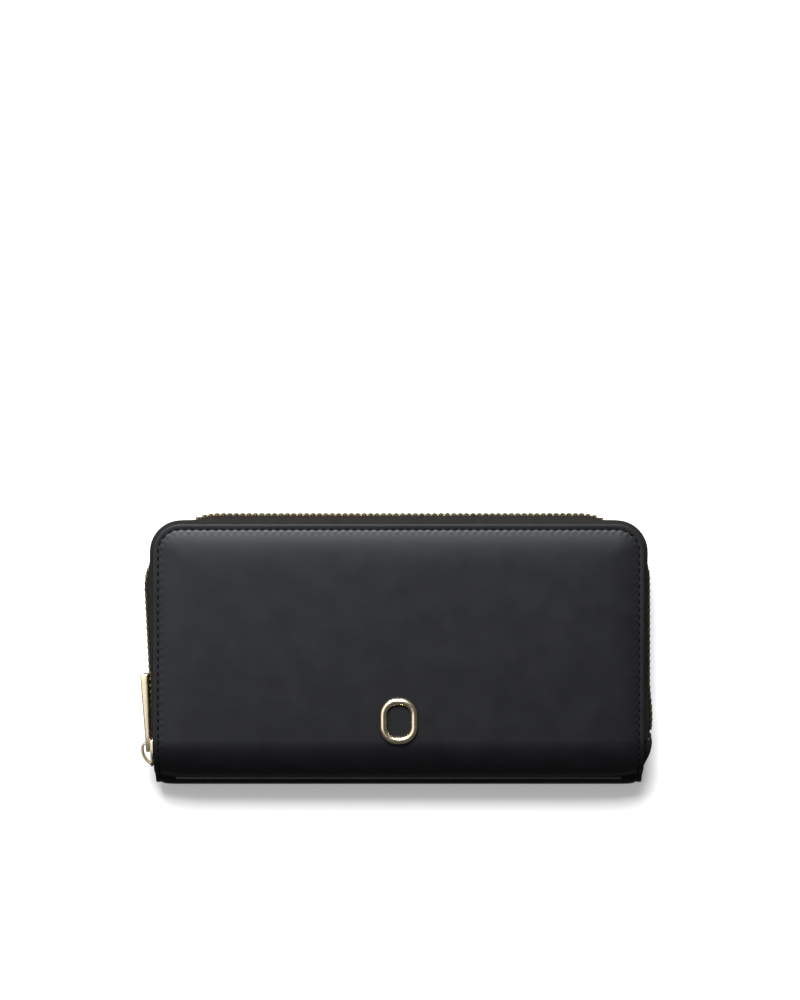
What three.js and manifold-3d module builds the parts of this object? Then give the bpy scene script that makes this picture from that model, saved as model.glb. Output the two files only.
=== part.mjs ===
// A zip-around long wallet, closed and lying on its back cover.
// Millimetres: +X runs along the wallet, +Y from the spine to the zip side, +Z up through the covers.
// The origin is the middle of the back cover's outer face.
import * as THREE from "three";
import { mergeVertices } from "three/addons/utils/BufferGeometryUtils.js";
import Module from "manifold-3d";

const wasm = await Module();
wasm.setup();

// ---- Driving dimensions ----

const cover = { width: 188, depth: 98.6, cornerRadius: 10.5 };
const thickness = 24; // over both covers, closed
const layerGap = 0.1; // between two layers that lie on each other
const touchGap = 0.3; // between two solids that meet at an angle

const leather = { thickness: 1.2, edgeRound: 0.35 };
const padding = { thickness: 0.9, inset: 4.8, pinched: 0.3 };
const board = { thickness: 0.8, inset: 4.8, spineGap: 11.3 };
const lining = { thickness: 0.4, inset: 1.2, spineGap: 8.5 };
const pocket = { count: 3, thickness: 0.5, sideInset: 6, spineGap: 8.9, topGap: 10.3, step: 12 };
const dome = { front: 0.85, back: 0.4 }; // how far the stitched margin sinks below the puffed face
const domeRun = { front: 26, back: 4 }; // how far in from the stitching the face is full height
const stitch = { inset: 2, thread: 0.5, groove: 0.9, grooveDepth: 0.4 };
const spineRun = 14.3; // from the spine edge to where a cover's flat leather ends

// The spine's leather bulges in two lobes with a crease between them.
const spine = {
  thickness: 1.4,
  creaseDrop: 11, // below the front face
  creaseInset: 1.5, // behind the spine edge
  front: { start: 16.3, overhang: -0.4, steps: 8 },
  back: { start: 9.3, overhang: 2.3, widest: 6.2, steps: 6 },
  endRound: 0.8,
};
const spineLining = { thickness: 0.5, inset: 3.5, halfWidth: 90, halfHeight: 4.5 };

const mainChain = { pitch: 2.47, half: 2.9, thickness: 2.4, tooth: 0.9, mesh: 0.5 };
const tape = { thickness: 0.6, flange: 4.3 };
// Distances in from the spine edge: the tape's start beside the slider, where the front half
// leaves the slider, and where the tapes end on the right side.
const zipRun = { start: 8.3, mouth: 16.3, end: 15.9 };
const stopLength = 2;
// How far the zip stands out of the cover's edge.
const stand = {
  slider: 0.82,
  peak: 4.05,
  peakY: 25,
  corner: 2.5,
  top: 4.3,
  right: 2.9,
  low: 3.8,
  lowY: -25,
  ease: 14,
};
const cornerTuck = 0.5; // the chain hides behind the tape's bulge in the corners

const sliderInset = 11.7; // the pull tab's pin when the zip is closed, in from the spine edge
const coinScale = 0.72; // the coin pocket's zip is a size smaller
const slider = {
  front: 6.4,
  rear: 4.1,
  halfFront: 4.6,
  halfRear: 4.1,
  plate: 0.7,
  clearance: 0.25,
  channel: 3.2,
  mouth: 4.1,
  neck: 0.75,
  neckTip: 3.2,
  slot: 1.1,
  bevel: 0.2,
};
const bail = { pin: 2.3, thickness: 1.2, width: 2.6, crest: 4.2 };
const tab = {
  length: 30,
  rootHalf: 2.6,
  rootThickness: 1.5,
  endHalf: 4,
  endThickness: 2.2,
  pinHalf: 0.75,
  windowEnd: 4.4,
  windowHalf: 1.75,
  chamfer: 0.3,
};
const tabTilt = THREE.MathUtils.degToRad(7);
const tabLean = THREE.MathUtils.degToRad(-1);
const coinTab = { ...tab, length: 20, endHalf: 3, endThickness: 1.8 };
const coinTabTilt = THREE.MathUtils.degToRad(3);

const coin = {
  thickness: 4,
  wall: 0.6,
  halfWidth: 88,
  bottomGap: 6.3,
  topGap: 9.3,
  seam: 2,
  chainStart: 68,
  chainRise: 1.7,
  sliderX: 61.5,
  tapeDrop: 10,
};
const gusset = { thickness: 0.5, fold: 13.5, flange: 2.6, start: 8.3, length: 47 };
const emblem = { width: 14.6, height: 17.8, wire: 2.8, squareness: 3.2, spineGap: 23.5, lift: 0.12 };
const prong = { width: 2.2, thickness: 0.6, clearance: 0.3 };
const backing = { width: 8, height: 20, thickness: 0.3, recess: 0.5 };

// ---- Worked out from them ----

const mid = thickness / 2;
const side = cover.width / 2;
const topEdge = cover.depth / 2;
const panelSpineEnd = -topEdge + spineRun;
const zipStart = -topEdge + zipRun.start;
const zipMouth = -topEdge + zipRun.mouth;
const zipEnd = -topEdge + zipRun.end;
const sliderY = -topEdge + sliderInset;
const pocketFoot = -topEdge + pocket.spineGap;
const coinFoot = -topEdge + coin.bottomGap;
const coinTop = topEdge - coin.topGap;
const emblemY = -topEdge + emblem.spineGap;
const slant = Math.atan((stand.peak - stand.slider) / (stand.peakY - sliderY));

const paddingAt = leather.thickness + layerGap;
const boardAt = paddingAt + padding.thickness + layerGap;
const liningAt = boardAt + board.thickness + layerGap;
const pocketAt = liningAt + lining.thickness + layerGap;
const pocketPitch = pocket.thickness + layerGap;
const innerFace = pocketAt + pocket.count * pocketPitch - layerGap;
const coinFace = mid - coin.thickness / 2;
const tapeTop = mid - mainChain.half - touchGap;

// ---- Solids ----

// A closed surface from points and triangles, turned so that its faces point out.
function surface(points, triangles) {
  const cross = new THREE.Vector3();
  let volume = 0;
  for (const [a, b, c] of triangles) {
    volume += points[a].dot(cross.crossVectors(points[b], points[c]));
  }
  const index = triangles.flatMap(([a, b, c]) => (volume < 0 ? [a, c, b] : [a, b, c]));
  const geometry = new THREE.BufferGeometry().setFromPoints(points);
  geometry.setIndex(index);
  geometry.computeVertexNormals();
  return geometry;
}

// Quads between two rings of the same length.
function band(first, second, count) {
  const faces = [];
  for (let i = 0; i < count; i++) {
    const next = (i + 1) % count;
    faces.push([first + i, first + next, second + next]);
    faces.push([first + i, second + next, second + i]);
  }
  return faces;
}

// A solid through a row of flat rings, closed at both ends.
function loft(rings) {
  const count = rings[0].length;
  const faces = [];
  for (let r = 0; r + 1 < rings.length; r++) {
    faces.push(...band(r * count, (r + 1) * count, count));
  }
  const last = (rings.length - 1) * count;
  faces.push(...capFaces(rings[0]).map(([a, b, c]) => [c, b, a]));
  faces.push(...capFaces(rings.at(-1)).map((face) => face.map((i) => i + last)));
  return surface(rings.flat(), faces);
}

// The triangles that fill a flat ring, which may be bent like a strip's section.
function capFaces(ring) {
  const normal = new THREE.Vector3();
  const cross = new THREE.Vector3();
  ring.forEach((p, i) => normal.add(cross.crossVectors(p, ring[(i + 1) % ring.length])));
  const across = ring[1].clone().sub(ring[0]).cross(normal).normalize();
  const along = normal.clone().cross(across).normalize();
  const flat = ring.map((p) => new THREE.Vector2(p.dot(across), p.dot(along)));
  const faces = THREE.ShapeUtils.triangulateShape(flat, []);
  return THREE.ShapeUtils.isClockWise(flat) ? faces.map(([a, b, c]) => [c, b, a]) : faces;
}

// A closed ring swept around a loop, as a bent wire is.
function loop(rings) {
  const count = rings[0].length;
  const faces = rings.flatMap((_, r) => band(r * count, ((r + 1) % rings.length) * count, count));
  return surface(rings.flat(), faces);
}

function toSolid(geometry) {
  const bare = geometry.clone();
  bare.deleteAttribute("normal");
  bare.deleteAttribute("uv");
  const merged = mergeVertices(bare, 1e-4);
  return new wasm.Manifold(
    new wasm.Mesh({
      numProp: 3,
      vertProperties: new Float32Array(merged.attributes.position.array),
      triVerts: new Uint32Array(merged.index.array),
    }),
  );
}

function toGeometry(solid) {
  const mesh = solid.getMesh();
  const geometry = new THREE.BufferGeometry();
  geometry.setAttribute("position", new THREE.BufferAttribute(mesh.vertProperties, 3));
  geometry.setIndex(new THREE.BufferAttribute(mesh.triVerts, 1));
  geometry.computeVertexNormals();
  return geometry;
}

function cut(geometry, ...cutters) {
  return toGeometry(cutters.reduce((solid, c) => solid.subtract(toSolid(c)), toSolid(geometry)));
}

function join(geometry, ...others) {
  return toGeometry(others.reduce((solid, o) => solid.add(toSolid(o)), toSolid(geometry)));
}

function box(low, high) {
  const size = high.map((h, i) => h - low[i]);
  const geometry = new THREE.BoxGeometry(...size);
  return geometry.translate(...low.map((l, i) => l + size[i] / 2));
}

// A plate with a bevelled edge between two heights.
function plate(outline, low, high, bevel = 0) {
  const geometry = new THREE.ExtrudeGeometry(new THREE.Shape(outline), {
    depth: high - low - 2 * bevel,
    bevelEnabled: bevel > 0,
    bevelThickness: bevel,
    bevelSize: bevel,
    bevelOffset: -bevel,
    bevelSegments: 1,
    curveSegments: 8,
  });
  return geometry.translate(0, 0, low + bevel);
}

// The points of a line moved sideways, to the left of its direction, with mitred bends.
function offsetLine(points, distance) {
  const sharpest = 0.5;
  return points.map((point, i) => {
    const into = point.clone().sub(points[Math.max(i - 1, 0)]).normalize();
    const onward = points[Math.min(i + 1, points.length - 1)].clone().sub(point).normalize();
    const first = i === 0 ? onward : into;
    const along = into.clone().add(onward).normalize();
    const reach = distance / Math.max(along.dot(first), sharpest);
    return new THREE.Vector2(point.x - along.y * reach, point.y + along.x * reach);
  });
}

// The outline of a strip of even thickness along a line.
function strip(points, width) {
  return [...offsetLine(points, width / 2), ...offsetLine(points, -width / 2).reverse()];
}

const line = (...pairsOfNumbers) => pairsOfNumbers.map(([x, y]) => new THREE.Vector2(x, y));

// ---- Where things lie ----

// A depth counted from a cover's outer plane, as a height.
const heightAt = (which, depth) => (which === "back" ? depth : thickness - depth);

// A cover's outline, inset from its edges, with its spine end at bottom.
function coverOutline(inset, bottom, sideInset = inset) {
  const radius = Math.max(cover.cornerRadius - inset, 0.5);
  const right = side - sideInset;
  const top = topEdge - inset;
  const steps = 8;
  const points = [new THREE.Vector2(-right, bottom)];
  for (const [x, from] of [
    [-right + radius, Math.PI],
    [right - radius, Math.PI / 2],
  ]) {
    for (let i = 0; i <= steps; i++) {
      const angle = from - (i / steps) * (Math.PI / 2);
      const y = top - radius + radius * Math.sin(angle);
      points.push(new THREE.Vector2(x + radius * Math.cos(angle), y));
    }
  }
  points.push(new THREE.Vector2(right, bottom));
  return points;
}

function coverPlate(which, outline, depth, layerThickness) {
  const heights = [heightAt(which, depth), heightAt(which, depth + layerThickness)];
  return plate(outline, Math.min(...heights), Math.max(...heights));
}

// A cover's leather or padding: rings of [inset, depth] from one face's middle to the other's.
function pillow(which, rings) {
  const slack = Math.max(...rings.map(([inset]) => inset)) + 5;
  const solid = loft(
    rings.map(([inset, depth]) =>
      coverOutline(inset, panelSpineEnd - slack + inset).map(
        (p) => new THREE.Vector3(p.x, p.y, heightAt(which, depth)),
      ),
    ),
  );
  const beyond = [-side - 1, -topEdge - slack - 60, -1];
  return cut(solid, box(beyond, [side + 1, panelSpineEnd, thickness + 1]));
}

const ease = (t) => {
  const clamped = Math.min(Math.max(t, 0), 1);
  return clamped * clamped * (3 - 2 * clamped);
};

// The cover's edge that the zip follows: left side up, round the top, right side down.
const leftRun = topEdge - cover.cornerRadius - zipStart;
const cornerRun = (Math.PI / 2) * cover.cornerRadius;
const topRun = cover.width - 2 * cover.cornerRadius;
const rightRun = topEdge - cover.cornerRadius - zipEnd;
const zipLength = leftRun + topRun + rightRun + 2 * cornerRun;

// A point on that edge, the way out from it, how far the zip stands out and how much it is a corner.
function zipStation(s) {
  const r = cover.cornerRadius;
  const corners = [
    { from: leftRun, x: -side + r, turn: Math.PI },
    { from: leftRun + cornerRun + topRun, x: side - r, turn: Math.PI / 2 },
  ];
  const cornerShare = Math.max(
    ...corners.map((c) => 1 - ease((Math.abs(s - c.from - cornerRun / 2) - cornerRun / 2) / 9)),
  );
  const at = (x, y, nx, ny, out) => ({
    base: new THREE.Vector2(x, y),
    out: new THREE.Vector2(nx, ny),
    stand: out,
    corner: cornerShare,
  });
  for (const c of corners) {
    if (s >= c.from && s <= c.from + cornerRun) {
      const angle = c.turn - (s - c.from) / r;
      const [cos, sin] = [Math.cos(angle), Math.sin(angle)];
      return at(c.x + r * cos, topEdge - r + r * sin, cos, sin, stand.corner);
    }
  }
  if (s < leftRun) {
    const y = zipStart + s;
    const straight = stand.slider + (y - sliderY) * Math.tan(slant);
    const back = ease((y - stand.peakY) / (topEdge - r - stand.peakY));
    const out = y < stand.peakY ? straight : stand.peak + (stand.corner - stand.peak) * back;
    return at(-side, y, -1, 0, out);
  }
  const along = s - leftRun - cornerRun;
  if (along < topRun) {
    const swell = ease(Math.min(along, topRun - along) / stand.ease);
    const out = stand.corner + (stand.top - stand.corner) * swell;
    return at(-side + r + along, topEdge, 0, 1, out);
  }
  const y = topEdge - r - (along - topRun - cornerRun);
  const swell = ease((topEdge - r - y) / stand.ease);
  const bulge = ease(1 - Math.abs(y - stand.lowY) / stand.ease);
  const out = stand.corner + (stand.right - stand.corner) * swell;
  return at(side, y, 1, 0, out + (stand.low - stand.right) * bulge);
}

// Stations along the zip: far apart on the straights and close in the corners.
function zipStations(from, to) {
  const cornerEnds = [leftRun, leftRun + cornerRun + topRun];
  const marks = [from, to];
  for (const start of cornerEnds) {
    for (let i = 0; i <= 6; i++) marks.push(start + (i * cornerRun) / 6);
  }
  const straight = 6;
  for (let s = from + straight; s < to; s += straight) {
    const nearCorner = cornerEnds.some((c) => s > c - 2 && s < c + cornerRun + 2);
    if (!nearCorner) marks.push(s);
  }
  return marks.filter((s) => s >= from && s <= to).sort((a, b) => a - b);
}

// A section of [outward, depth] points, stood on the cover's edge at a station.
function placeSection(which, station, section) {
  return section.map((p) => {
    const foot = station.base.clone().addScaledVector(station.out, p.x);
    return new THREE.Vector3(foot.x, foot.y, heightAt(which, p.y));
  });
}

const chainFace = (station) => station.stand - cornerTuck * station.corner;

// ---- The pieces of a cover ----

// The leather's outer face dips at the stitching and swells towards the middle.
function coverLeather(which) {
  const margin = dome[which];
  const groove = margin + stitch.grooveDepth;
  const round = leather.edgeRound;
  const run = domeRun[which];
  const inner = stitch.inset - stitch.groove / 2;
  const outer = stitch.inset + stitch.groove / 2;
  const full = leather.thickness;
  return pillow(which, [
    [outer + run, 0],
    [outer + 0.5 * run, 0.07 * margin],
    [outer + 0.22 * run, 0.25 * margin],
    [outer + 0.08 * run, 0.52 * margin],
    [outer + 0.2, 0.85 * margin],
    [outer, groove],
    [inner, groove],
    [inner - 0.2, margin],
    [round, margin],
    [0, margin + round],
    [0, margin + full - round],
    [round, margin + full],
    [outer, margin + full],
    [outer + 0.25 * run, 0.25 * margin + full],
    [outer + 0.7 * run, full],
  ]);
}

function coverPadding(which) {
  const margin = dome[which];
  const run = domeRun[which];
  const from = padding.inset;
  const bottom = paddingAt + padding.thickness;
  return pillow(which, [
    [from + run, paddingAt],
    [from + 0.3 * run, paddingAt + 0.28 * margin],
    [from, bottom - padding.pinched],
    [from, bottom],
    [from + run, bottom],
  ]);
}

// The thread that runs up one side, along the top and down the other.
function coverStitching(which) {
  const radius = stitch.thread / 2;
  const depth = dome[which] + stitch.grooveDepth - 0.08 - radius;
  const path = coverOutline(stitch.inset, panelSpineEnd + touchGap);
  const sides = 6;
  const rings = path.map((point, i) => {
    const before = path[Math.max(i - 1, 0)];
    const after = path[Math.min(i + 1, path.length - 1)];
    const along = after.clone().sub(before).normalize();
    return Array.from({ length: sides }, (_, k) => {
      const angle = (k / sides) * 2 * Math.PI;
      const across = radius * Math.cos(angle);
      const z = heightAt(which, depth) + radius * Math.sin(angle);
      return new THREE.Vector3(point.x - along.y * across, point.y + along.x * across, z);
    });
  });
  return loft(rings);
}

// A card pocket is a strip sewn on at its sides and foot, each lower than the one behind it.
function cardPocket(which, index) {
  const top = topEdge - pocket.topGap - index * pocket.step;
  const right = side - pocket.sideInset;
  const outline = line([-right, pocketFoot], [right, pocketFoot], [right, top], [-right, top]);
  return coverPlate(which, outline, pocketAt + index * pocketPitch, pocket.thickness);
}

// The zip's tape: flat between leather and lining, then round the edge and up to the chain.
function zipTape(which, from, to) {
  const flat = dome[which] + leather.thickness + layerGap + tape.thickness / 2;
  const rings = zipStations(from, to).map((s) => {
    const station = zipStation(s);
    const middle = chainFace(station) - mainChain.thickness / 2;
    const loose = 0.5 * middle + 0.35;
    const bulge = loose + (station.stand - loose) * station.corner;
    const centre = line(
      [-tape.flange, flat],
      [-1.1, flat],
      [0.1 + 0.5 * station.corner, flat + 0.75],
      [bulge, mid - 6.8],
      [middle, tapeTop - 1.7],
      [middle, tapeTop],
    );
    return placeSection(which, station, strip(centre, tape.thickness));
  });
  return loft(rings);
}

// The last of the front tape, which bends down into the slider.
function tapeEnd() {
  const from = zipStation(0);
  const to = zipStation(zipMouth - touchGap - zipStart);
  const rings = [from, to].map((station) => {
    const middle = station.stand - mainChain.thickness / 2;
    const centre = line([0.2, mid - 7.6], [middle, tapeTop - 1.7], [middle, tapeTop]);
    return placeSection("front", station, strip(centre, tape.thickness));
  });
  return loft(rings);
}

// One half of the chain: a comb of teeth that mesh with the other half's.
function zipTeeth(which) {
  const half = mainChain.pitch / 2;
  const from = zipMouth - zipStart;
  const count = Math.floor((zipLength - stopLength - touchGap - from) / half);
  const facing = which === "back" ? 1 : -1;
  const rings = [];
  for (let i = 0; i <= count; i++) {
    const station = zipStation(from + i * half);
    const outer = chainFace(station);
    const tip = mid + (i % 2 ? facing : -facing) * mainChain.tooth - mainChain.mesh / 2;
    const root = mid - mainChain.half;
    const section = line(
      [outer - mainChain.thickness, root],
      [outer, root],
      [outer, tip],
      [outer - mainChain.thickness, tip],
    );
    rings.push(placeSection(which, station, section));
  }
  return loft(rings);
}

// ---- Spine, gussets and zip ends ----

function arcLine(centreX, centreY, radiusX, radiusY, from, to, steps) {
  return Array.from({ length: steps + 1 }, (_, i) => {
    const angle = from + ((to - from) * i) / steps;
    return new THREE.Vector2(
      centreX + radiusX * Math.cos(angle),
      centreY + radiusY * Math.sin(angle),
    );
  });
}

// The outer line of a lobe in [y, z], from its cover to the crease.
function lobeLine(which) {
  const creaseZ = thickness - spine.creaseDrop;
  const creaseY = -topEdge + spine.creaseInset;
  const lobe = spine[which];
  const start = -topEdge + lobe.start;
  const reach = lobe.start + lobe.overhang;
  if (which === "front") {
    const drop = thickness - creaseZ;
    const arc = arcLine(start, creaseZ, reach, drop, 0.5 * Math.PI, Math.PI, lobe.steps);
    const first = new THREE.Vector2(panelSpineEnd - touchGap, thickness - 0.02 * drop);
    const kept = arc.filter((p) => p.x < first.x - 0.5);
    return [first, ...kept, new THREE.Vector2(creaseY, creaseZ - 0.6)];
  }
  const low = arcLine(start, lobe.widest, reach, lobe.widest, 1.5 * Math.PI, Math.PI, lobe.steps);
  const rise = creaseZ - 1.2 - lobe.widest;
  const back = lobe.overhang + spine.creaseInset;
  const high = arcLine(creaseY, lobe.widest, back, rise, Math.PI, 0.58 * Math.PI, 4);
  return [new THREE.Vector2(panelSpineEnd - touchGap, 0), ...low, ...high.slice(1)];
}

function spineLeather(which) {
  const outer = lobeLine(which);
  const turn = which === "front" ? 1 : -1;
  const inner = offsetLine(outer, turn * spine.thickness);
  const section = [...outer, ...inner.reverse()];
  const centre = new THREE.Vector2(-topEdge + 6, which === "front" ? thickness - 5 : 5);
  const shrink = spine.endRound / 6;
  const rings = [
    [-side, shrink],
    [-side + spine.endRound, 0],
    [side - spine.endRound, 0],
    [side, shrink],
  ].map(([x, share]) =>
    section.map((p) => {
      const q = p.clone().lerp(centre, p.x < -topEdge + spine[which].start ? share : 0);
      return new THREE.Vector3(x, q.x, q.y);
    }),
  );
  return loft(rings);
}

// A gusset folds inwards between a cover and the coin pocket, at one end of the wallet.
function sideGusset(which, end) {
  const inside = (inset) => end * (side - inset);
  const centre = line(
    [inside(gusset.flange), liningAt + lining.thickness + 0.35],
    [inside(gusset.flange + 1), liningAt + lining.thickness + 0.5],
    [inside(pocket.sideInset - 0.8), innerFace + 0.6],
    [inside(gusset.fold), (innerFace + coinFace) / 2],
    [inside(side - coin.halfWidth + 1.5), coinFace - 0.45],
  );
  const section = strip(centre, gusset.thickness);
  const foot = -topEdge + gusset.start;
  const rings = [foot, foot + gusset.length].map((y) =>
    section.map((p) => new THREE.Vector3(p.x, y, heightAt(which, p.y))),
  );
  return loft(rings);
}

// The leather tab that closes the zip's end on the right side.
function zipEndTab() {
  const start = zipEnd - touchGap;
  const profile = [
    { y: start, out: stand.right + 0.5, low: 4.4 },
    { y: start - 3, out: stand.right, low: 4.6 },
    { y: start - 6.4, out: 1.9, low: 5.4 },
    { y: start - 9.4, out: 0.4, low: 6.6 },
  ];
  const rings = profile.map(({ y, out, low }) => {
    const inner = side - 2.4;
    const x = side + out;
    const high = thickness - low;
    const soft = 1.1;
    return [
      [inner, low],
      [x - 2 * soft, low],
      [x - 0.4, low + 2 * soft],
      [x, mid],
      [x - 0.4, high - 2 * soft],
      [x - 2 * soft, high],
      [inner, high],
    ].map(([px, pz]) => new THREE.Vector3(px, y, pz));
  });
  return loft(rings);
}

function zipStop() {
  const station = zipStation(zipLength - stopLength / 2);
  const outer = side + chainFace(station);
  const half = mainChain.half - 0.2;
  const outline = line(
    [outer - mainChain.thickness, zipEnd],
    [outer, zipEnd],
    [outer, zipEnd + stopLength],
    [outer - mainChain.thickness, zipEnd + stopLength],
  );
  return plate(outline, mid - half, mid + half, 0.2);
}

// ---- Sliders and pull tabs ----
// Their own axes: x along the chain towards its closed part, y out of the chain's face, z across it.

// A plan outline of [along, across], raised between two heights out of the chain.
function raise(outline, low, high, bevel = 0) {
  return plate(outline, low, high, bevel).rotateX(-Math.PI / 2);
}

function bailCurve() {
  const crest = bail.crest;
  const points = [
    [2.9, 0.5],
    [2.75, 2.6],
    [2.0, crest - 0.2],
    [0.7, crest],
    [-1.2, crest - 0.05],
    [-3.2, crest - 0.75],
    [-5.0, 2.1],
    [-5.9, 0.4],
  ];
  return new THREE.CatmullRomCurve3(points.map(([x, y]) => new THREE.Vector3(x, y, 0)));
}

function sliderBody() {
  const s = slider;
  const deep = -mainChain.thickness - s.clearance;
  const outline = line(
    [s.rear, -s.halfRear],
    [s.rear, s.halfRear],
    [0, s.halfRear],
    [1.5 - s.front, s.halfFront],
    [-s.front, s.halfFront - 1.2],
    [-s.front, 1.2 - s.halfFront],
    [1.5 - s.front, -s.halfFront],
    [0, -s.halfRear],
  );
  const past = 1;
  const channel = line(
    [s.rear + past, -s.channel],
    [s.rear + past, s.channel],
    [-2, s.channel],
    [-s.front - past, s.mouth],
    [-s.front - past, s.neck],
    [-s.neckTip, 0],
    [-s.front - past, -s.neck],
    [-s.front - past, -s.mouth],
    [-2, -s.channel],
  );
  const body = raise(outline, deep - s.plate, s.clearance + s.plate, s.bevel);
  const slotMiddle = -mainChain.thickness / 2;
  const slots = [-1, 1].map((end) => {
    const across = [end * (s.channel - 0.4), end * (s.halfFront + past)].sort((a, b) => a - b);
    return box(
      [-s.front - past, slotMiddle - s.slot / 2, across[0]],
      [s.rear + past, slotMiddle + s.slot / 2, across[1]],
    );
  });
  const halfWidth = bail.width / 2;
  const half = bail.thickness / 2;
  const section = line([-halfWidth, -half], [halfWidth, -half], [halfWidth, half], [-halfWidth, half]);
  const arch = new THREE.ExtrudeGeometry(new THREE.Shape(section), {
    steps: 18,
    bevelEnabled: false,
    extrudePath: bailCurve(),
  });
  return join(cut(body, raise(channel, deep, s.clearance), ...slots), arch);
}

// A tapered plate with a window at its root that hangs on the bail, pin first.
function pullTab(spec) {
  const rings = [
    [-spec.pinHalf, spec.rootHalf - 0.3, spec.rootThickness - 0.3],
    [-spec.pinHalf + 0.3, spec.rootHalf, spec.rootThickness],
    [spec.windowEnd + 0.8, spec.rootHalf + 0.1, spec.rootThickness],
    [0.5 * spec.length, (spec.rootHalf + spec.endHalf) / 2, (spec.rootThickness + spec.endThickness) / 2],
    [spec.length - 2.4, spec.endHalf, spec.endThickness],
    [spec.length - 1.1, spec.endHalf - 0.25, spec.endThickness],
    [spec.length - 0.75, spec.endHalf - 1, spec.endThickness - 0.4],
  ].map(([x, half, thick]) => {
    const t = thick / 2;
    const c = spec.chamfer;
    return [
      [-t, -half + c],
      [-t, half - c],
      [-t + c, half],
      [t - c, half],
      [t, half - c],
      [t, -half + c],
      [t - c, -half],
      [-t + c, -half],
    ].map(([y, z]) => new THREE.Vector3(x, y, z));
  });
  const through = spec.endThickness;
  const window = box(
    [spec.pinHalf, -through, -spec.windowHalf],
    [spec.windowEnd, through, spec.windowHalf],
  );
  return cut(loft(rings), window);
}

// ---- Coin pocket ----

function coinWall(which) {
  const right = coin.halfWidth;
  const outline = line([-right, coinFoot], [right, coinFoot], [right, coinTop], [-right, coinTop]);
  return coverPlate(which, outline, coinFace, coin.wall);
}

const coinInside = coin.thickness / 2 - coin.wall - layerGap;
const coinChainTop = coinTop + coin.chainRise + mainChain.thickness * coinScale;

function coinBlock(low, high) {
  return box([low[0], low[1], mid - coinInside], [high[0], high[1], mid + coinInside]);
}

// The coin zip's tape hooks over the top of a wall and is sewn down its outside.
function coinTape(which) {
  const k = coinScale;
  const thick = tape.thickness * k;
  const beside = coin.thickness / 2 + layerGap + thick / 2 + 0.1;
  const chainMiddle = coinChainTop - (mainChain.thickness / 2) * k;
  const wide = slider.halfFront * k + thick;
  const centre = line(
    [chainMiddle, (mainChain.half + touchGap) * k],
    [chainMiddle, wide],
    [chainMiddle - 0.8, wide + 0.45],
    [coinChainTop - 4, wide - 0.1],
    [coinChainTop - 6, beside],
    [coinChainTop - coin.tapeDrop, beside],
  );
  const section = strip(centre, thick);
  const rings = [-coin.chainStart, coin.chainStart].map((x) =>
    section.map((p) => new THREE.Vector3(x, p.x, heightAt(which, mid - p.y))),
  );
  return loft(rings);
}

function coinTeeth() {
  const k = coinScale;
  const outline = line(
    [-coin.chainStart + 1.5, coinChainTop - mainChain.thickness * k],
    [coin.sliderX - 1, coinChainTop - mainChain.thickness * k],
    [coin.sliderX - 1, coinChainTop],
    [-coin.chainStart + 1.5, coinChainTop],
  );
  return plate(outline, mid - mainChain.half * k, mid + mainChain.half * k, 0.3);
}

function coinStop(end) {
  const low = coin.chainStart - 1.2;
  const x = [end * low, end * coin.chainStart].sort((a, b) => a - b);
  const thick = mainChain.thickness * coinScale;
  const half = mainChain.half * coinScale - 0.3;
  return box([x[0], coinChainTop - thick, mid - half], [x[1], coinChainTop, mid + half]);
}

// ---- Emblem ----

// A cushion-shaped ring of round wire with two prongs that go through the front cover.
function emblemRing() {
  const radius = emblem.wire / 2;
  const halfWidth = emblem.width / 2 - radius;
  const halfHeight = emblem.height / 2 - radius;
  const z = thickness + emblem.lift + radius;
  const power = 2 / emblem.squareness;
  const around = 36;
  const sides = 10;
  const at = (i) => {
    const angle = ((i % around) / around) * 2 * Math.PI;
    const [c, s] = [Math.cos(angle), Math.sin(angle)];
    const x = halfWidth * Math.sign(c) * Math.abs(c) ** power;
    return new THREE.Vector2(x, emblemY + halfHeight * Math.sign(s) * Math.abs(s) ** power);
  };
  const rings = Array.from({ length: around }, (_, i) => {
    const along = at(i + 1).sub(at(i + around - 1)).normalize();
    const centre = at(i);
    return Array.from({ length: sides }, (_, k) => {
      const angle = (k / sides) * 2 * Math.PI;
      const across = radius * Math.cos(angle);
      const [x, y] = [centre.x + along.y * across, centre.y - along.x * across];
      return new THREE.Vector3(x, y, z + radius * Math.sin(angle));
    });
  });
  const prongs = prongBoxes(0, heightAt("front", boardAt + board.thickness - 0.1), z);
  return join(loop(rings), ...prongs);
}

function prongBoxes(clearance, low, high) {
  const reach = (emblem.height - emblem.wire) / 2;
  const halfWidth = prong.width / 2 + clearance;
  const half = prong.thickness / 2 + clearance;
  return [-reach, reach].map((offset) => {
    const y = emblemY + offset;
    return box([-halfWidth, y - half, low], [halfWidth, y + half, high]);
  });
}

const prongSlots = () => prongBoxes(prong.clearance, mid, thickness + emblem.wire);

function backingBox(grow, low, high) {
  const halfWidth = backing.width / 2 + grow;
  const half = backing.height / 2 + grow;
  return box([-halfWidth, emblemY - half, low], [halfWidth, emblemY + half, high]);
}

// ---- The wallet ----

const wallet = new THREE.Group();

function mesh(group, name, geometry, look) {
  const made = new THREE.Mesh(geometry, new THREE.MeshStandardMaterial(look));
  made.name = name;
  group.add(made);
  return made;
}

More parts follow.
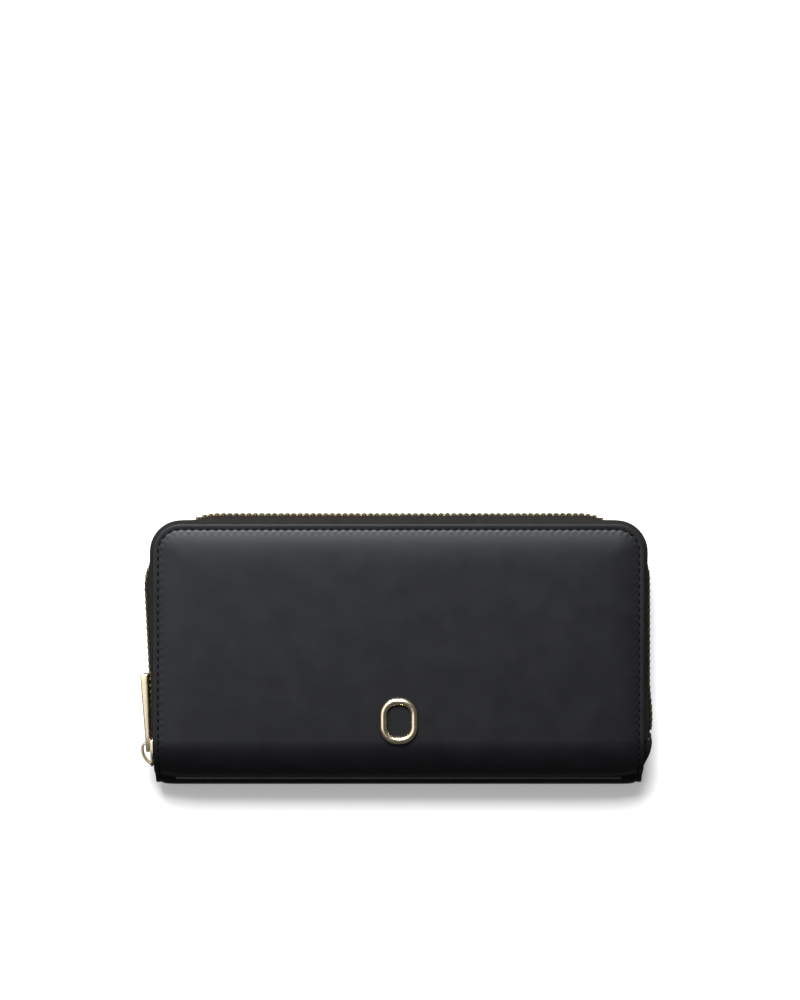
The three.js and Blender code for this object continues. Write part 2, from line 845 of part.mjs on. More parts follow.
const looks = {
  leather: { color: 0x1b1c1e, roughness: 0.42, metalness: 0 },
  innerLeather: { color: 0x222226, roughness: 0.55, metalness: 0 },
  lining: { color: 0x2a2a2e, roughness: 0.85, metalness: 0 },
  foam: { color: 0x3a3a3d, roughness: 0.95, metalness: 0 },
  board: { color: 0x8a7a60, roughness: 0.9, metalness: 0 },
  thread: { color: 0x0c0c0d, roughness: 0.6, metalness: 0 },
  tape: { color: 0x1d1c19, roughness: 0.8, metalness: 0 },
  brass: { color: 0x8a7448, roughness: 0.4, metalness: 1 },
  gold: { color: 0xe3c98f, roughness: 0.18, metalness: 1 },
  steel: { color: 0x9a9a98, roughness: 0.4, metalness: 1 },
};

// Both covers are layered the same way, outside to inside.
function addCover(which) {
  const group = new THREE.Group();
  const isFront = which === "front";
  const slots = isFront ? prongSlots() : [];
  const drill = (geometry) => (isFront ? cut(geometry, ...slots) : geometry);
  const boardInner = heightAt(which, boardAt + board.thickness);
  const boardPlate = drill(
    coverPlate(which, coverOutline(board.inset, -topEdge + board.spineGap), boardAt, board.thickness),
  );
  const recess = backingBox(touchGap, boardInner - 1, boardInner + backing.recess);
  const liningOutline = coverOutline(lining.inset, -topEdge + lining.spineGap);
  mesh(group, `${which}_cover_leather`, drill(coverLeather(which)), looks.leather);
  mesh(group, `${which}_cover_padding`, drill(coverPadding(which)), looks.foam);
  mesh(group, `${which}_cover_board`, isFront ? cut(boardPlate, recess) : boardPlate, looks.board);
  const liningPlate = coverPlate(which, liningOutline, liningAt, lining.thickness);
  mesh(group, `${which}_cover_lining`, liningPlate, looks.lining);
  for (let i = 0; i < pocket.count; i++) {
    mesh(group, `${which}_card_pocket_${i + 1}`, cardPocket(which, i), looks.innerLeather);
  }
  mesh(group, `${which}_cover_stitching`, coverStitching(which), looks.thread);
  const tapeFrom = isFront ? zipMouth - zipStart : 0;
  mesh(group, `${which}_zip_tape`, zipTape(which, tapeFrom, zipLength), looks.tape);
  mesh(group, `${which}_zip_teeth`, zipTeeth(which), looks.brass);
  mesh(group, `spine_leather_${which}`, spineLeather(which), looks.leather);
  mesh(group, `gusset_${which}_left`, sideGusset(which, -1), looks.innerLeather);
  mesh(group, `gusset_${which}_right`, sideGusset(which, 1), looks.innerLeather);
  wallet.add(group);
  return group;
}

addCover("back");

const frontCover = addCover("front");
mesh(frontCover, "front_zip_tape_end", tapeEnd(), looks.tape);
mesh(frontCover, "emblem", emblemRing(), looks.gold);
const backingLow = heightAt("front", boardAt + board.thickness) + layerGap;
const backingPlate = cut(backingBox(0, backingLow, backingLow + backing.thickness), ...prongSlots());
mesh(frontCover, "emblem_backing", backingPlate, looks.steel);

const centre = new THREE.Group();
mesh(centre, "coin_pocket_back_wall", coinWall("back"), looks.innerLeather);
mesh(centre, "coin_pocket_front_wall", coinWall("front"), looks.innerLeather);
const seamIn = coin.halfWidth - coin.seam;
const seamFoot = coinFoot + coin.seam;
const bottomFold = coinBlock([-coin.halfWidth, coinFoot], [coin.halfWidth, seamFoot]);
mesh(centre, "coin_pocket_bottom_fold", bottomFold, looks.lining);
const leftSeam = coinBlock([-coin.halfWidth, seamFoot + layerGap], [-seamIn, coinTop]);
mesh(centre, "coin_pocket_seam_left", leftSeam, looks.lining);
const rightSeam = coinBlock([seamIn, seamFoot + layerGap], [coin.halfWidth, coinTop]);
mesh(centre, "coin_pocket_seam_right", rightSeam, looks.lining);
mesh(centre, "coin_zip_tape_back", coinTape("back"), looks.tape);
mesh(centre, "coin_zip_tape_front", coinTape("front"), looks.tape);
mesh(centre, "coin_zip_teeth", coinTeeth(), looks.brass);
mesh(centre, "coin_zip_stop_left", coinStop(-1), looks.brass);
mesh(centre, "coin_zip_stop_right", coinStop(1), looks.brass);
const spineY = -topEdge + spineLining.inset;
const spineStrip = box(
  [-spineLining.halfWidth, spineY, mid - spineLining.halfHeight],
  [spineLining.halfWidth, spineY + spineLining.thickness, mid + spineLining.halfHeight],
);
mesh(centre, "spine_lining", spineStrip, looks.lining);
mesh(centre, "zip_bottom_stop", zipStop(), looks.brass);
mesh(centre, "zip_end_tab", zipEndTab(), looks.leather);
wallet.add(centre);

// A slider with its pull tab hung on the bail.
function addSlider(name, tabName, spec, tilt, lean) {
  const group = new THREE.Group();
  mesh(group, name, sliderBody(), looks.gold);
  const hung = mesh(group, tabName, pullTab(spec), looks.gold);
  hung.position.set(0, bail.pin, 0);
  hung.rotation.set(tilt, 0, lean, "ZYX");
  wallet.add(group);
  return group;
}

const mainSlider = addSlider("slider_body", "pull_tab", tab, tabTilt, tabLean);
mainSlider.position.set(-side - stand.slider, sliderY, mid);
mainSlider.rotation.z = Math.PI / 2 + slant;

const coinSlider = addSlider("coin_slider_body", "coin_pull_tab", coinTab, coinTabTilt, tabLean);
coinSlider.position.set(coin.sliderX, coinChainTop, mid);
coinSlider.rotation.y = Math.PI;
coinSlider.scale.setScalar(coinScale);

export default wallet;
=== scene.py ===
# A zip-around long wallet in black leather, lying closed on its back cover.
from math import atan, atan2, cos, hypot, pi, radians, sin

import bmesh
import bpy
from mathutils import Matrix, Vector


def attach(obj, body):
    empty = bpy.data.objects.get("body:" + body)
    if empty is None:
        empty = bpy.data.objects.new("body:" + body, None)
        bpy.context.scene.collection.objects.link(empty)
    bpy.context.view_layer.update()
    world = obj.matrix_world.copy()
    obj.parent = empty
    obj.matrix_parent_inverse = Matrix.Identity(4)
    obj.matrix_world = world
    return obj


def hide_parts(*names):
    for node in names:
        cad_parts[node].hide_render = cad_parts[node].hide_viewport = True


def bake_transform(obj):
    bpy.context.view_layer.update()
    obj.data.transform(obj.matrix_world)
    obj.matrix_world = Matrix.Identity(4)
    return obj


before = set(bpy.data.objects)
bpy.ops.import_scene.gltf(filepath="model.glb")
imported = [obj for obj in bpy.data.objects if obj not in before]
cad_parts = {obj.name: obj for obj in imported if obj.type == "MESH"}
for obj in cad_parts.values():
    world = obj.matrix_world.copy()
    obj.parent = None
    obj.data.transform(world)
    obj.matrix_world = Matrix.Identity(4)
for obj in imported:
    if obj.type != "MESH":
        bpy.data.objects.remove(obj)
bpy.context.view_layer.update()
print("frame loaded")

# Pieces are modelled in millimetres and scaled to metres when they are finished.
metre = 0.001


def clearSelection():
    if bpy.context.object and bpy.context.object.mode != "OBJECT":
        bpy.ops.object.mode_set(mode="OBJECT")
    for item in bpy.context.selected_objects:
        item.select_set(False)


def focus(*items):
    clearSelection()
    for item in items:
        item.select_set(True)
    bpy.context.view_layer.objects.active = items[0]


def edit(piece):
    focus(piece)
    bpy.ops.object.mode_set(mode="EDIT")


def leaveEdit():
    bpy.ops.object.mode_set(mode="OBJECT")


def pick(piece, kind, test):
    # Selects, in edit mode, the vertices, edges or faces that the test is true for.
    bpy.ops.mesh.select_mode(type=kind)
    bpy.ops.mesh.select_all(action="DESELECT")
    shape = bmesh.from_edit_mesh(piece.data)
    items = {"VERT": shape.verts, "EDGE": shape.edges, "FACE": shape.faces}[kind]
    for item in items:
        if test(item):
            item.select_set(True)
    shape.select_flush_mode()
    bmesh.update_edit_mesh(piece.data)


def applyModifier(piece, kind, **settings):
    focus(piece)
    modifier = piece.modifiers.new(kind.title(), kind)
    for key, value in settings.items():
        setattr(modifier, key, value)
    bpy.ops.object.modifier_apply(modifier=modifier.name)


def roundEdges(piece, width, segments=3, angle=40):
    applyModifier(
        piece, "BEVEL", width=width, segments=segments, limit_method="ANGLE",
        angle_limit=radians(angle), harden_normals=False,
    )


def faceOutwards(piece):
    edit(piece)
    bpy.ops.mesh.select_all(action="SELECT")
    bpy.ops.mesh.remove_doubles(threshold=0.0005)
    bpy.ops.mesh.normals_make_consistent(inside=False)
    leaveEdit()


def block(name, low, high):
    # A cube primitive that fills a box, named and ready to be shaped.
    clearSelection()
    middle = [(a + b) / 2 for a, b in zip(low, high)]
    bpy.ops.mesh.primitive_cube_add(size=1, location=middle)
    piece = bpy.context.object
    piece.name = name
    piece.data.name = name
    piece.scale = [b - a for a, b in zip(low, high)]
    bpy.ops.object.transform_apply(location=True, rotation=True, scale=True)
    return piece


def finishPiece(piece, material, smooth=35):
    # Takes a piece from millimetres to metres and leaves it at the origin.
    focus(piece)
    piece.data.transform(Matrix.Scale(metre, 4) @ piece.matrix_world)
    piece.matrix_world = Matrix.Identity(4)
    piece.data.update()
    bpy.ops.object.shade_smooth_by_angle(angle=radians(smooth))
    piece.data.materials.clear()
    piece.data.materials.append(material)
    return piece


def copiesOf(pattern, name, places):
    # One object made of copies of a pattern piece, each with its own mesh.
    copies = []
    for place in places:
        copy = pattern.copy()
        copy.data = pattern.data.copy()
        copy.matrix_world = place
        bpy.context.collection.objects.link(copy)
        copies.append(copy)
    focus(*copies)
    bpy.ops.object.join()
    joined = bpy.context.object
    joined.name = name
    joined.data.name = name
    bpy.ops.object.transform_apply(location=True, rotation=True, scale=True)
    return joined


def placeAxes(point, along, up):
    # A matrix that puts x along one direction and z near another.
    x = Vector(along).normalized()
    y = Vector(up).cross(x).normalized()
    z = x.cross(y)
    return Matrix.Translation(point) @ Matrix((x, y, z)).transposed().to_4x4()


def ease(t):
    t = min(max(t, 0), 1)
    return t * t * (3 - 2 * t)


# Colours are given as sRGB hex values and turned to linear ones here.
def linear(hexColour):
    parts = [int(hexColour[i:i + 2], 16) / 255 for i in (0, 2, 4)]
    return [p / 12.92 if p <= 0.04045 else ((p + 0.055) / 1.055) ** 2.4 for p in parts] + [1]


def addNode(tree, kind, settings=None, inputs=None):
    node = tree.nodes.new(kind)
    for key, value in (settings or {}).items():
        setattr(node, key, value)
    for key, value in (inputs or {}).items():
        if isinstance(value, bpy.types.NodeSocket):
            tree.links.new(value, node.inputs[key])
        else:
            node.inputs[key].default_value = value
    return node


def newMaterial(name, **shader):
    material = bpy.data.materials.new(name)
    material.use_nodes = True
    tree = material.node_tree
    surface = tree.nodes["Principled BSDF"]
    for key, value in shader.items():
        surface.inputs[key.replace("_", " ")].default_value = value
    return material, tree, surface


def ramp(tree, factor, stops):
    node = addNode(tree, "ShaderNodeValToRGB", inputs={"Fac": factor})
    elements = node.color_ramp.elements
    while len(elements) < len(stops):
        elements.new(0.5)
    for element, (position, colour) in zip(elements, stops):
        element.position = position
        element.color = linear(colour)
    return node.outputs["Color"]


def maths(tree, operation, first, second=0.0, third=0.0):
    settings = {"operation": operation}
    node = addNode(tree, "ShaderNodeMath", settings, {0: first, 1: second, 2: third})
    return node.outputs[0]


def objectPoint(tree):
    return addNode(tree, "ShaderNodeTexCoord").outputs["Object"]


def noise(tree, point, sizeMm, detail=2.0, roughness=0.5):
    # Noise whose blobs are about sizeMm across.
    inputs = {"Vector": point, "Scale": 1 / (sizeMm * metre), "Detail": detail, "Roughness": roughness}
    return addNode(tree, "ShaderNodeTexNoise", inputs=inputs).outputs["Fac"]


def bump(tree, height, distanceMm, strength=1.0, normal=None):
    inputs = {"Height": height, "Distance": distanceMm * metre, "Strength": strength}
    if normal:
        inputs["Normal"] = normal
    return addNode(tree, "ShaderNodeBump", inputs=inputs).outputs["Normal"]


# Corrected-grain calf leather, dyed black and finished with a satin topcoat:
# nearly smooth, with a faint pebble and soft, wide highlights.
outerLook = {
    "colours": ("060607", "0a0a0c"),
    "sheenTint": "f3f7ff",
    "grainMm": 0.8,
    "grainDepthMm": 0.018,
    "wavesMm": 40,
    "wavesDepthMm": 0.25,
    "roughness": (0.4, 0.43),
    "stitchPitchMm": 2.95,
    "puckerMm": 0.045,
}


def outerLeatherMaterial(name, look, seam=True):
    material, tree, surface = newMaterial(name, IOR=1.5, Specular_IOR_Level=0.3)
    point = objectPoint(tree)
    grain = noise(tree, point, look["grainMm"], detail=3, roughness=0.6)
    waves = noise(tree, point, look["wavesMm"], detail=1)
    mottle = noise(tree, point, 9, detail=3)
    colour = ramp(tree, mottle, [(0.3, look["colours"][0]), (0.7, look["colours"][1])])
    tree.links.new(colour, surface.inputs["Base Color"])
    surface.inputs["Specular Tint"].default_value = linear(look["sheenTint"])
    low, high = look["roughness"]
    spread = addNode(tree, "ShaderNodeMapRange", inputs={0: mottle, 1: 0.3, 2: 0.7, 3: low, 4: high})
    tree.links.new(spread.outputs[0], surface.inputs["Roughness"])
    normal = bump(tree, waves, look["wavesDepthMm"], 0.5)
    if seam:
        # The thread pulls the leather down at each hole, beside the stitch line.
        seamPoint = addNode(tree, "ShaderNodeUVMap", {"uv_map": "seam"}).outputs["UV"]
        parts = addNode(tree, "ShaderNodeSeparateXYZ", inputs={0: seamPoint}).outputs
        turn = maths(tree, "MULTIPLY", parts["X"], 2 * pi / (look["stitchPitchMm"] * metre))
        wave = maths(tree, "COSINE", turn)
        start = {0: parts["Y"], 1: 2.3 * metre, 2: 2.8 * metre, 3: 0.0, 4: 1.0}
        rise = addNode(tree, "ShaderNodeMapRange", {"interpolation_type": "SMOOTHSTEP"}, start)
        end = {0: parts["Y"], 1: 2.9 * metre, 2: 4.4 * metre, 3: 1.0, 4: 0.0}
        fall = addNode(tree, "ShaderNodeMapRange", {"interpolation_type": "SMOOTHSTEP"}, end)
        band = maths(tree, "MULTIPLY", rise.outputs[0], fall.outputs[0])
        uneven = maths(tree, "MULTIPLY", band, noise(tree, point, 4, detail=2))
        normal = bump(tree, maths(tree, "MULTIPLY", wave, uneven), look["puckerMm"], 1, normal)
    normal = bump(tree, grain, look["grainDepthMm"], 1, normal)
    tree.links.new(normal, surface.inputs["Normal"])
    return material


# Split leather, black and matt, as the inside pockets are cut from.
innerLook = {"colours": ("141416", "202024"), "grainMm": 0.9, "grainDepthMm": 0.03}


def innerLeatherMaterial():
    material, tree, surface = newMaterial("mattInnerLeather", IOR=1.5, Roughness=0.58)
    point = objectPoint(tree)
    grain = noise(tree, point, innerLook["grainMm"], detail=4, roughness=0.65)
    colour = ramp(tree, grain, [(0.3, innerLook["colours"][0]), (0.75, innerLook["colours"][1])])
    tree.links.new(colour, surface.inputs["Base Color"])
    tree.links.new(bump(tree, grain, innerLook["grainDepthMm"]), surface.inputs["Normal"])
    return material


def wovenMaterial(name, colours, threadMm, depthMm, roughness, uvName=None, sheen=0.3):
    # Two crossing sets of threads, one going under where the other goes over.
    material, tree, surface = newMaterial(name, Roughness=roughness, Sheen_Weight=sheen)
    if uvName:
        point = addNode(tree, "ShaderNodeUVMap", {"uv_map": uvName}).outputs["UV"]
    else:
        point = objectPoint(tree)
    parts = addNode(tree, "ShaderNodeSeparateXYZ", inputs={0: point}).outputs
    turn = 2 * pi / (threadMm * metre)
    first = maths(tree, "SINE", maths(tree, "MULTIPLY", parts["X"], turn))
    second = maths(tree, "SINE", maths(tree, "MULTIPLY", parts["Y"], turn))
    weave = maths(tree, "MULTIPLY_ADD", maths(tree, "MULTIPLY", first, second), 0.5, 0.5)
    fuzz = noise(tree, objectPoint(tree), 3, detail=4)
    shade = maths(tree, "MULTIPLY", weave, maths(tree, "ADD", fuzz, 0.35))
    colour = ramp(tree, shade, [(0.15, colours[0]), (0.8, colours[1])])
    tree.links.new(colour, surface.inputs["Base Color"])
    tree.links.new(bump(tree, weave, depthMm), surface.inputs["Normal"])
    surface.inputs["Specular IOR Level"].default_value = 0.25
    return material


# Die-cast zinc, polished and plated pale gold: bright, with hair-fine polishing marks.
goldLook = {"colours": ("f8e4b8", "fff2d4"), "roughness": (0.16, 0.26), "marksMm": 1.6}


def paleGoldMaterial():
    material, tree, surface = newMaterial("polishedPaleGold", Metallic=1.0)
    point = objectPoint(tree)
    marks = noise(tree, point, goldLook["marksMm"], detail=5, roughness=0.7)
    colour = ramp(tree, marks, [(0.3, goldLook["colours"][0]), (0.7, goldLook["colours"][1])])
    tree.links.new(colour, surface.inputs["Base Color"])
    low, high = goldLook["roughness"]
    spread = addNode(tree, "ShaderNodeMapRange", inputs={0: marks, 1: 0.3, 2: 0.7, 3: low, 4: high})
    tree.links.new(spread.outputs[0], surface.inputs["Roughness"])
    tree.links.new(bump(tree, marks, 0.01), surface.inputs["Normal"])
    return material


# Stamped brass teeth with an antique wash: brown in the hollows, rubbed bright on the crowns.
teethLook = {"colours": ("1d170d", "9a875e"), "roughness": (0.3, 0.5), "patchMm": 0.9}


def antiqueBrassMaterial():
    material, tree, surface = newMaterial("antiqueBrass", Metallic=1.0)
    point = objectPoint(tree)
    patch = noise(tree, point, teethLook["patchMm"], detail=3)
    colour = ramp(tree, patch, [(0.3, teethLook["colours"][0]), (0.75, teethLook["colours"][1])])
    tree.links.new(colour, surface.inputs["Base Color"])
    low, high = teethLook["roughness"]
    spread = addNode(tree, "ShaderNodeMapRange", inputs={0: patch, 1: 0.3, 2: 0.7, 3: high, 4: low})
    tree.links.new(spread.outputs[0], surface.inputs["Roughness"])
    tree.links.new(bump(tree, patch, 0.03), surface.inputs["Normal"])
    return material


def plainFibreMaterial(name, colours, sizeMm, depthMm, roughness, shine=0.5):
    # Pressed or blown stuff with no direction to it: foam, board, twisted thread.
    material, tree, surface = newMaterial(name, Roughness=roughness, Specular_IOR_Level=shine)
    point = objectPoint(tree)
    fleck = noise(tree, point, sizeMm, detail=4, roughness=0.7)
    colour = ramp(tree, fleck, [(0.3, colours[0]), (0.7, colours[1])])
    tree.links.new(colour, surface.inputs["Base Color"])
    tree.links.new(bump(tree, fleck, depthMm), surface.inputs["Normal"])
    return material


outerLeather = outerLeatherMaterial("satinCalfLeather", outerLook)
tabLeather = outerLeatherMaterial("satinCalfTab", outerLook, seam=False)
innerLeather = innerLeatherMaterial()
tapeCloth = wovenMaterial("wovenZipTape", ("030303", "1a1813"), 0.62, 0.12, 0.85, "weave", sheen=0.0)
liningCloth = wovenMaterial("twillLining", ("101012", "26262a"), 0.5, 0.05, 0.8)
threadFibre = plainFibreMaterial("blackBondedThread", ("020203", "050506"), 0.3, 0.04, 0.7, 0.08)
# Edge paint in a grey much lighter than the leather: partly real edge paint, partly a painted highlight along
# the crease.
edgePaintHighlight = plainFibreMaterial("greyEdgePaintHighlight", ("4c4d52", "5c5d63"), 0.6, 0.02, 0.45)
foamSheet = plainFibreMaterial("greyFoamSheet", ("3a3a3c", "4c4c50"), 0.5, 0.08, 0.95)
fibreBoard = plainFibreMaterial("bondedFibreBoard", ("7b6a4e", "9a8766"), 0.8, 0.04, 0.9)
paleGold = paleGoldMaterial()
antiqueBrass = antiqueBrassMaterial()
print("materials made")


# The cover's outline, and the seam that follows it. Every size is in millimetres.
cover = {
    "halfWidth": 94.0,
    "topEdge": 49.3,
    "cornerRadius": 10.5,
    "thickness": 24.0,
    "leather": 1.2,
    "seamInset": 1.95,
}

# Each cover's leather runs on over the spine in a lobe, then folds in at the crease.
# Rings are (distance in from the edge, depth below the face); wide rings are past the corners' radius.
frontShape = {
    "lobeStart": -33.0,
    "lobeReach": 15.2,
    "lobeDrop": 11.0,
    "lobeSteps": 30,
    "fold": [(-0.34, 0.05), (-0.34, 0.0), (0.1, -0.55), (1.2, -0.3), (1.5, -0.1)],
    "edgeDepth": 1.15,
    "rings": [(1.45, 1.15), (1.95, 1.27), (2.4, 1.14), (3.1, 1.03), (4.2, 0.84), (5.8, 0.62), (8.0, 0.39)],
    "wideRings": [(11.5, 0.18), (16.0, 0.09), (22.0, 0.04), (30.0, 0.01), (40.0, 0.0)],
}
backShape = {
    "lobeStart": -40.0,
    "lobeReach": 11.6,
    "lobeDrop": 6.2,
    "lobeSteps": 20,
    "fold": [(0.15, -1.5), (0.6, -1.6), (1.1, -1.3), (1.5, -0.7), (1.6, -0.2)],
    "edgeDepth": 0.4,
    "rings": [(1.5, 0.4), (1.95, 0.52), (2.4, 0.38), (3.0, 0.2), (4.2, 0.08), (6.0, 0.02), (8.0, 0.0)],
    "wideRings": [(12.0, 0.0)],
}


def lobeLengths(shape, count=60):
    # Length of the lobe's curve up to each angle, for spacing the stitches.
    lengths, total, last = [0.0], 0.0, (0.0, shape["lobeDrop"])
    for i in range(1, count + 1):
        angle = pi / 2 * i / count
        here = (shape["lobeReach"] * sin(angle), shape["lobeDrop"] * cos(angle))
        total += hypot(here[0] - last[0], here[1] - last[1])
        lengths.append(total)
        last = here
    return lengths


def seamLengths(shape):
    # Lobe, side, corner and top lengths of the stitched line.
    lobe = lobeLengths(shape)[-1]
    radius = cover["cornerRadius"]
    sideRun = cover["topEdge"] - radius - shape["lobeStart"]
    corner = pi / 2 * (radius - cover["seamInset"])
    top = 2 * (cover["halfWidth"] - radius)
    return lobe, sideRun, corner, top


def seamPlace(shape, s, inset, depth):
    # The point at a length along the seam, its direction and the way out of the leather, front side up.
    lobe, sideRun, corner, top = seamLengths(shape)
    total = 2 * (lobe + sideRun + corner) + top
    mirrored = s > total / 2
    s = total - s if mirrored else s
    radius = cover["cornerRadius"]
    high = cover["thickness"] - depth
    if s < lobe:
        lengths = lobeLengths(shape)
        run = lobe - s
        i = min(max(k for k, value in enumerate(lengths) if value <= run), len(lengths) - 2)
        part = (run - lengths[i]) / (lengths[i + 1] - lengths[i])
        angle = pi / 2 * (i + part) / (len(lengths) - 1)
        reach = shape["lobeReach"] * (shape["lobeDrop"] - depth) / shape["lobeDrop"]
        drop = shape["lobeDrop"] - depth
        pivot = cover["thickness"] - shape["lobeDrop"]
        x, y = -cover["halfWidth"] + inset, shape["lobeStart"] - reach * sin(angle)
        point = Vector((x, y, pivot + drop * cos(angle)))
        along = Vector((0, reach * cos(angle), drop * sin(angle))).normalized()
        up = Vector((0, -along.z, along.y))
    elif s < lobe + sideRun:
        point = Vector((-cover["halfWidth"] + inset, shape["lobeStart"] + s - lobe, high))
        along, up = Vector((0, 1, 0)), Vector((0, 0, 1))
    elif s < lobe + sideRun + corner:
        angle = pi - (s - lobe - sideRun) / corner * pi / 2
        centre = Vector((-cover["halfWidth"] + radius, cover["topEdge"] - radius, high))
        point = centre + (radius - inset) * Vector((cos(angle), sin(angle), 0))
        along, up = Vector((sin(angle), -cos(angle), 0)), Vector((0, 0, 1))
    else:
        x = -cover["halfWidth"] + radius + s - lobe - sideRun - corner
        point = Vector((x, cover["topEdge"] - inset, high))
        along, up = Vector((1, 0, 0)), Vector((0, 0, 1))
    if mirrored:
        point.x, along.x, up.x = -point.x, -along.x, -up.x
        along = -along
    return point, along, up


def seamCoordinates(shape, co):
    # Where a point of the cover lies: length along the seam, and distance in from the edge.
    lobe, sideRun, corner, top = seamLengths(shape)
    total = 2 * (lobe + sideRun + corner) + top
    radius = cover["cornerRadius"]
    x, y = -abs(co.x), co.y
    centreX, centreY = -cover["halfWidth"] + radius, cover["topEdge"] - radius
    fromSide, fromTop = x + cover["halfWidth"], cover["topEdge"] - y
    if y < shape["lobeStart"]:
        lengths = lobeLengths(shape)
        across = (shape["lobeStart"] - y) / shape["lobeReach"] * shape["lobeDrop"]
        angle = atan2(across, max(co.z - cover["thickness"] + shape["lobeDrop"], 0))
        index = min(angle / (pi / 2), 1) * (len(lengths) - 1)
        low = min(int(index), len(lengths) - 2)
        s = lobe - (lengths[low] + (lengths[low + 1] - lengths[low]) * (index - low))
        inset = fromSide
    elif x < centreX and y > centreY:
        angle = atan2(y - centreY, x - centreX)
        s = lobe + sideRun + (pi - angle) / (pi / 2) * corner
        inset = radius - hypot(x - centreX, y - centreY)
    elif fromSide < fromTop:
        s, inset = lobe + y - shape["lobeStart"], fromSide
    else:
        s, inset = lobe + sideRun + corner + x - centreX, fromTop
    if co.x > 0:
        s = total - s
    return s * metre, inset * metre


def coverLeather(name, shape, isBack):
    high = cover["thickness"]
    beyond = -80.0
    depthOfPlane = cover["topEdge"] - beyond
    clearSelection()
    middleY = (cover["topEdge"] + beyond) / 2
    bpy.ops.mesh.primitive_plane_add(size=1, location=(0, middleY, high - shape["edgeDepth"]))
    piece = bpy.context.object
    piece.name = name
    piece.data.name = name
    piece.scale = (2 * cover["halfWidth"], depthOfPlane, 1)
    bpy.ops.object.transform_apply(location=True, rotation=True, scale=True)

    # Rounded top corners, then one inset for each ring of the swell.
    edit(piece)
    pick(piece, "VERT", lambda v: v.co.y > 0)
    bpy.ops.mesh.bevel(offset=cover["cornerRadius"], segments=12, affect="VERTICES")
    pick(piece, "FACE", lambda f: True)
    inset, depth = 0.0, shape["edgeDepth"]
    for ringInset, ringDepth in shape["rings"]:
        bpy.ops.mesh.inset(thickness=ringInset - inset, depth=depth - ringDepth, use_even_offset=True)
        inset, depth = ringInset, ringDepth
    for ringInset, ringDepth in shape["wideRings"]:
        wide = (cover["halfWidth"] - ringInset) / (cover["halfWidth"] - inset)
        tall = (depthOfPlane / 2 - ringInset) / (depthOfPlane / 2 - inset)
        bpy.ops.mesh.extrude_region_move(TRANSFORM_OT_translate={"value": (0, 0, depth - ringDepth)})
        bpy.ops.transform.resize(value=(wide, tall, 1), center_override=(0, middleY, high))
        inset, depth = ringInset, ringDepth

    # Cut where the spine's lobe starts, turn the section round it and fold its end in.
    bpy.ops.mesh.select_all(action="SELECT")
    cut = (0, shape["lobeStart"], 0)
    bpy.ops.mesh.bisect(plane_co=cut, plane_no=(0, 1, 0), clear_inner=True)
    pick(piece, "EDGE", lambda e: all(abs(v.co.y - shape["lobeStart"]) < 0.001 for v in e.verts))
    pivot = (0, shape["lobeStart"], high - shape["lobeDrop"])
    bpy.ops.mesh.spin(steps=shape["lobeSteps"], angle=-pi / 2, center=pivot, axis=(1, 0, 0))
    pick(piece, "VERT", lambda v: v.co.y < shape["lobeStart"] - 0.001)
    stretch = shape["lobeReach"] / shape["lobeDrop"]
    bpy.ops.transform.resize(value=(1, stretch, 1), center_override=pivot)
    pick(piece, "EDGE", lambda e: all(
        abs(v.co.z - pivot[2]) < 0.001 and v.co.y < shape["lobeStart"] for v in e.verts))
    for dy, dz in shape["fold"]:
        bpy.ops.mesh.extrude_edges_move(TRANSFORM_OT_translate={"value": (0, dy, dz)})
    leaveEdit()
    faceOutwards(piece)
    if max(piece.data.polygons, key=lambda f: f.area).normal.z < 0:
        piece.data.flip_normals()

    applyModifier(piece, "SOLIDIFY", thickness=cover["leather"], offset=-1, use_even_offset=True)
    roundEdges(piece, 0.28, segments=3, angle=60)
    seam = piece.data.uv_layers.new(name="seam")
    for loop in piece.data.loops:
        corner = piece.data.vertices[loop.vertex_index].co
        seam.data[loop.index].uv = seamCoordinates(shape, corner)
    if isBack:
        piece.data.transform(Matrix.Translation((0, 0, high)) @ Matrix.Scale(-1, 4, (0, 0, 1)))
        piece.data.flip_normals()
    return finishPiece(piece, outerLeather, smooth=50)


frontLeather = coverLeather("frontOuterLeather", frontShape, isBack=False)
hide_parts("front_cover_leather", "spine_leather_front")
backLeather = coverLeather("backOuterLeather", backShape, isBack=True)
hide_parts("back_cover_leather", "spine_leather_back")
print("outer leather modelled")


# One stitch of bonded thread; sink is how deep it lies in its groove.
stitch = {"length": 2.3, "width": 0.74, "height": 0.52, "dip": 0.22, "sink": 0.12}


def stitchPattern():
    clearSelection()
    bpy.ops.mesh.primitive_uv_sphere_add(segments=8, ring_count=6, radius=0.5, rotation=(0, pi / 2, 0))
    pattern = bpy.context.object
    bpy.ops.object.transform_apply(location=False, rotation=True, scale=False)
    pattern.scale = (stitch["length"], stitch["width"], stitch["height"])
    bpy.ops.object.transform_apply(location=False, rotation=False, scale=True)
    edit(pattern)
    # The ends are pulled down into the holes.
    pick(pattern, "VERT", lambda v: abs(v.co.x) > 0.38 * stitch["length"])
    bpy.ops.transform.translate(value=(0, 0, -stitch["dip"]))
    leaveEdit()
    return pattern


def seamStitches(name, shape, isBack):
    lobe, sideRun, corner, top = seamLengths(shape)
    total = 2 * (lobe + sideRun + corner) + top
    pitch = outerLook["stitchPitchMm"]
    ringDepth = shape["rings"][1][1]
    pattern = stitchPattern()
    places = []
    for i in range(int(total / pitch)):
        s = (i + 0.5) * pitch
        point, along, up = seamPlace(shape, s, cover["seamInset"], ringDepth - stitch["sink"])
        places.append(placeAxes(point, along, up))
    joined = copiesOf(pattern, name, places)
    bpy.data.objects.remove(pattern)
    if isBack:
        high = cover["thickness"]
        joined.data.transform(Matrix.Translation((0, 0, high)) @ Matrix.Scale(-1, 4, (0, 0, 1)))
        joined.data.flip_normals()
    return finishPiece(joined, threadFibre, smooth=60)


# The cut edge along the crease is sealed with edge paint and stands a little proud of the leather. Its light
# grey also stands in for a painted highlight line along the fold.
creaseHighlightEdge = {"y": (-48.95, -48.3), "z": (12.75, 13.3), "halfWidth": 85.9, "round": 0.24}


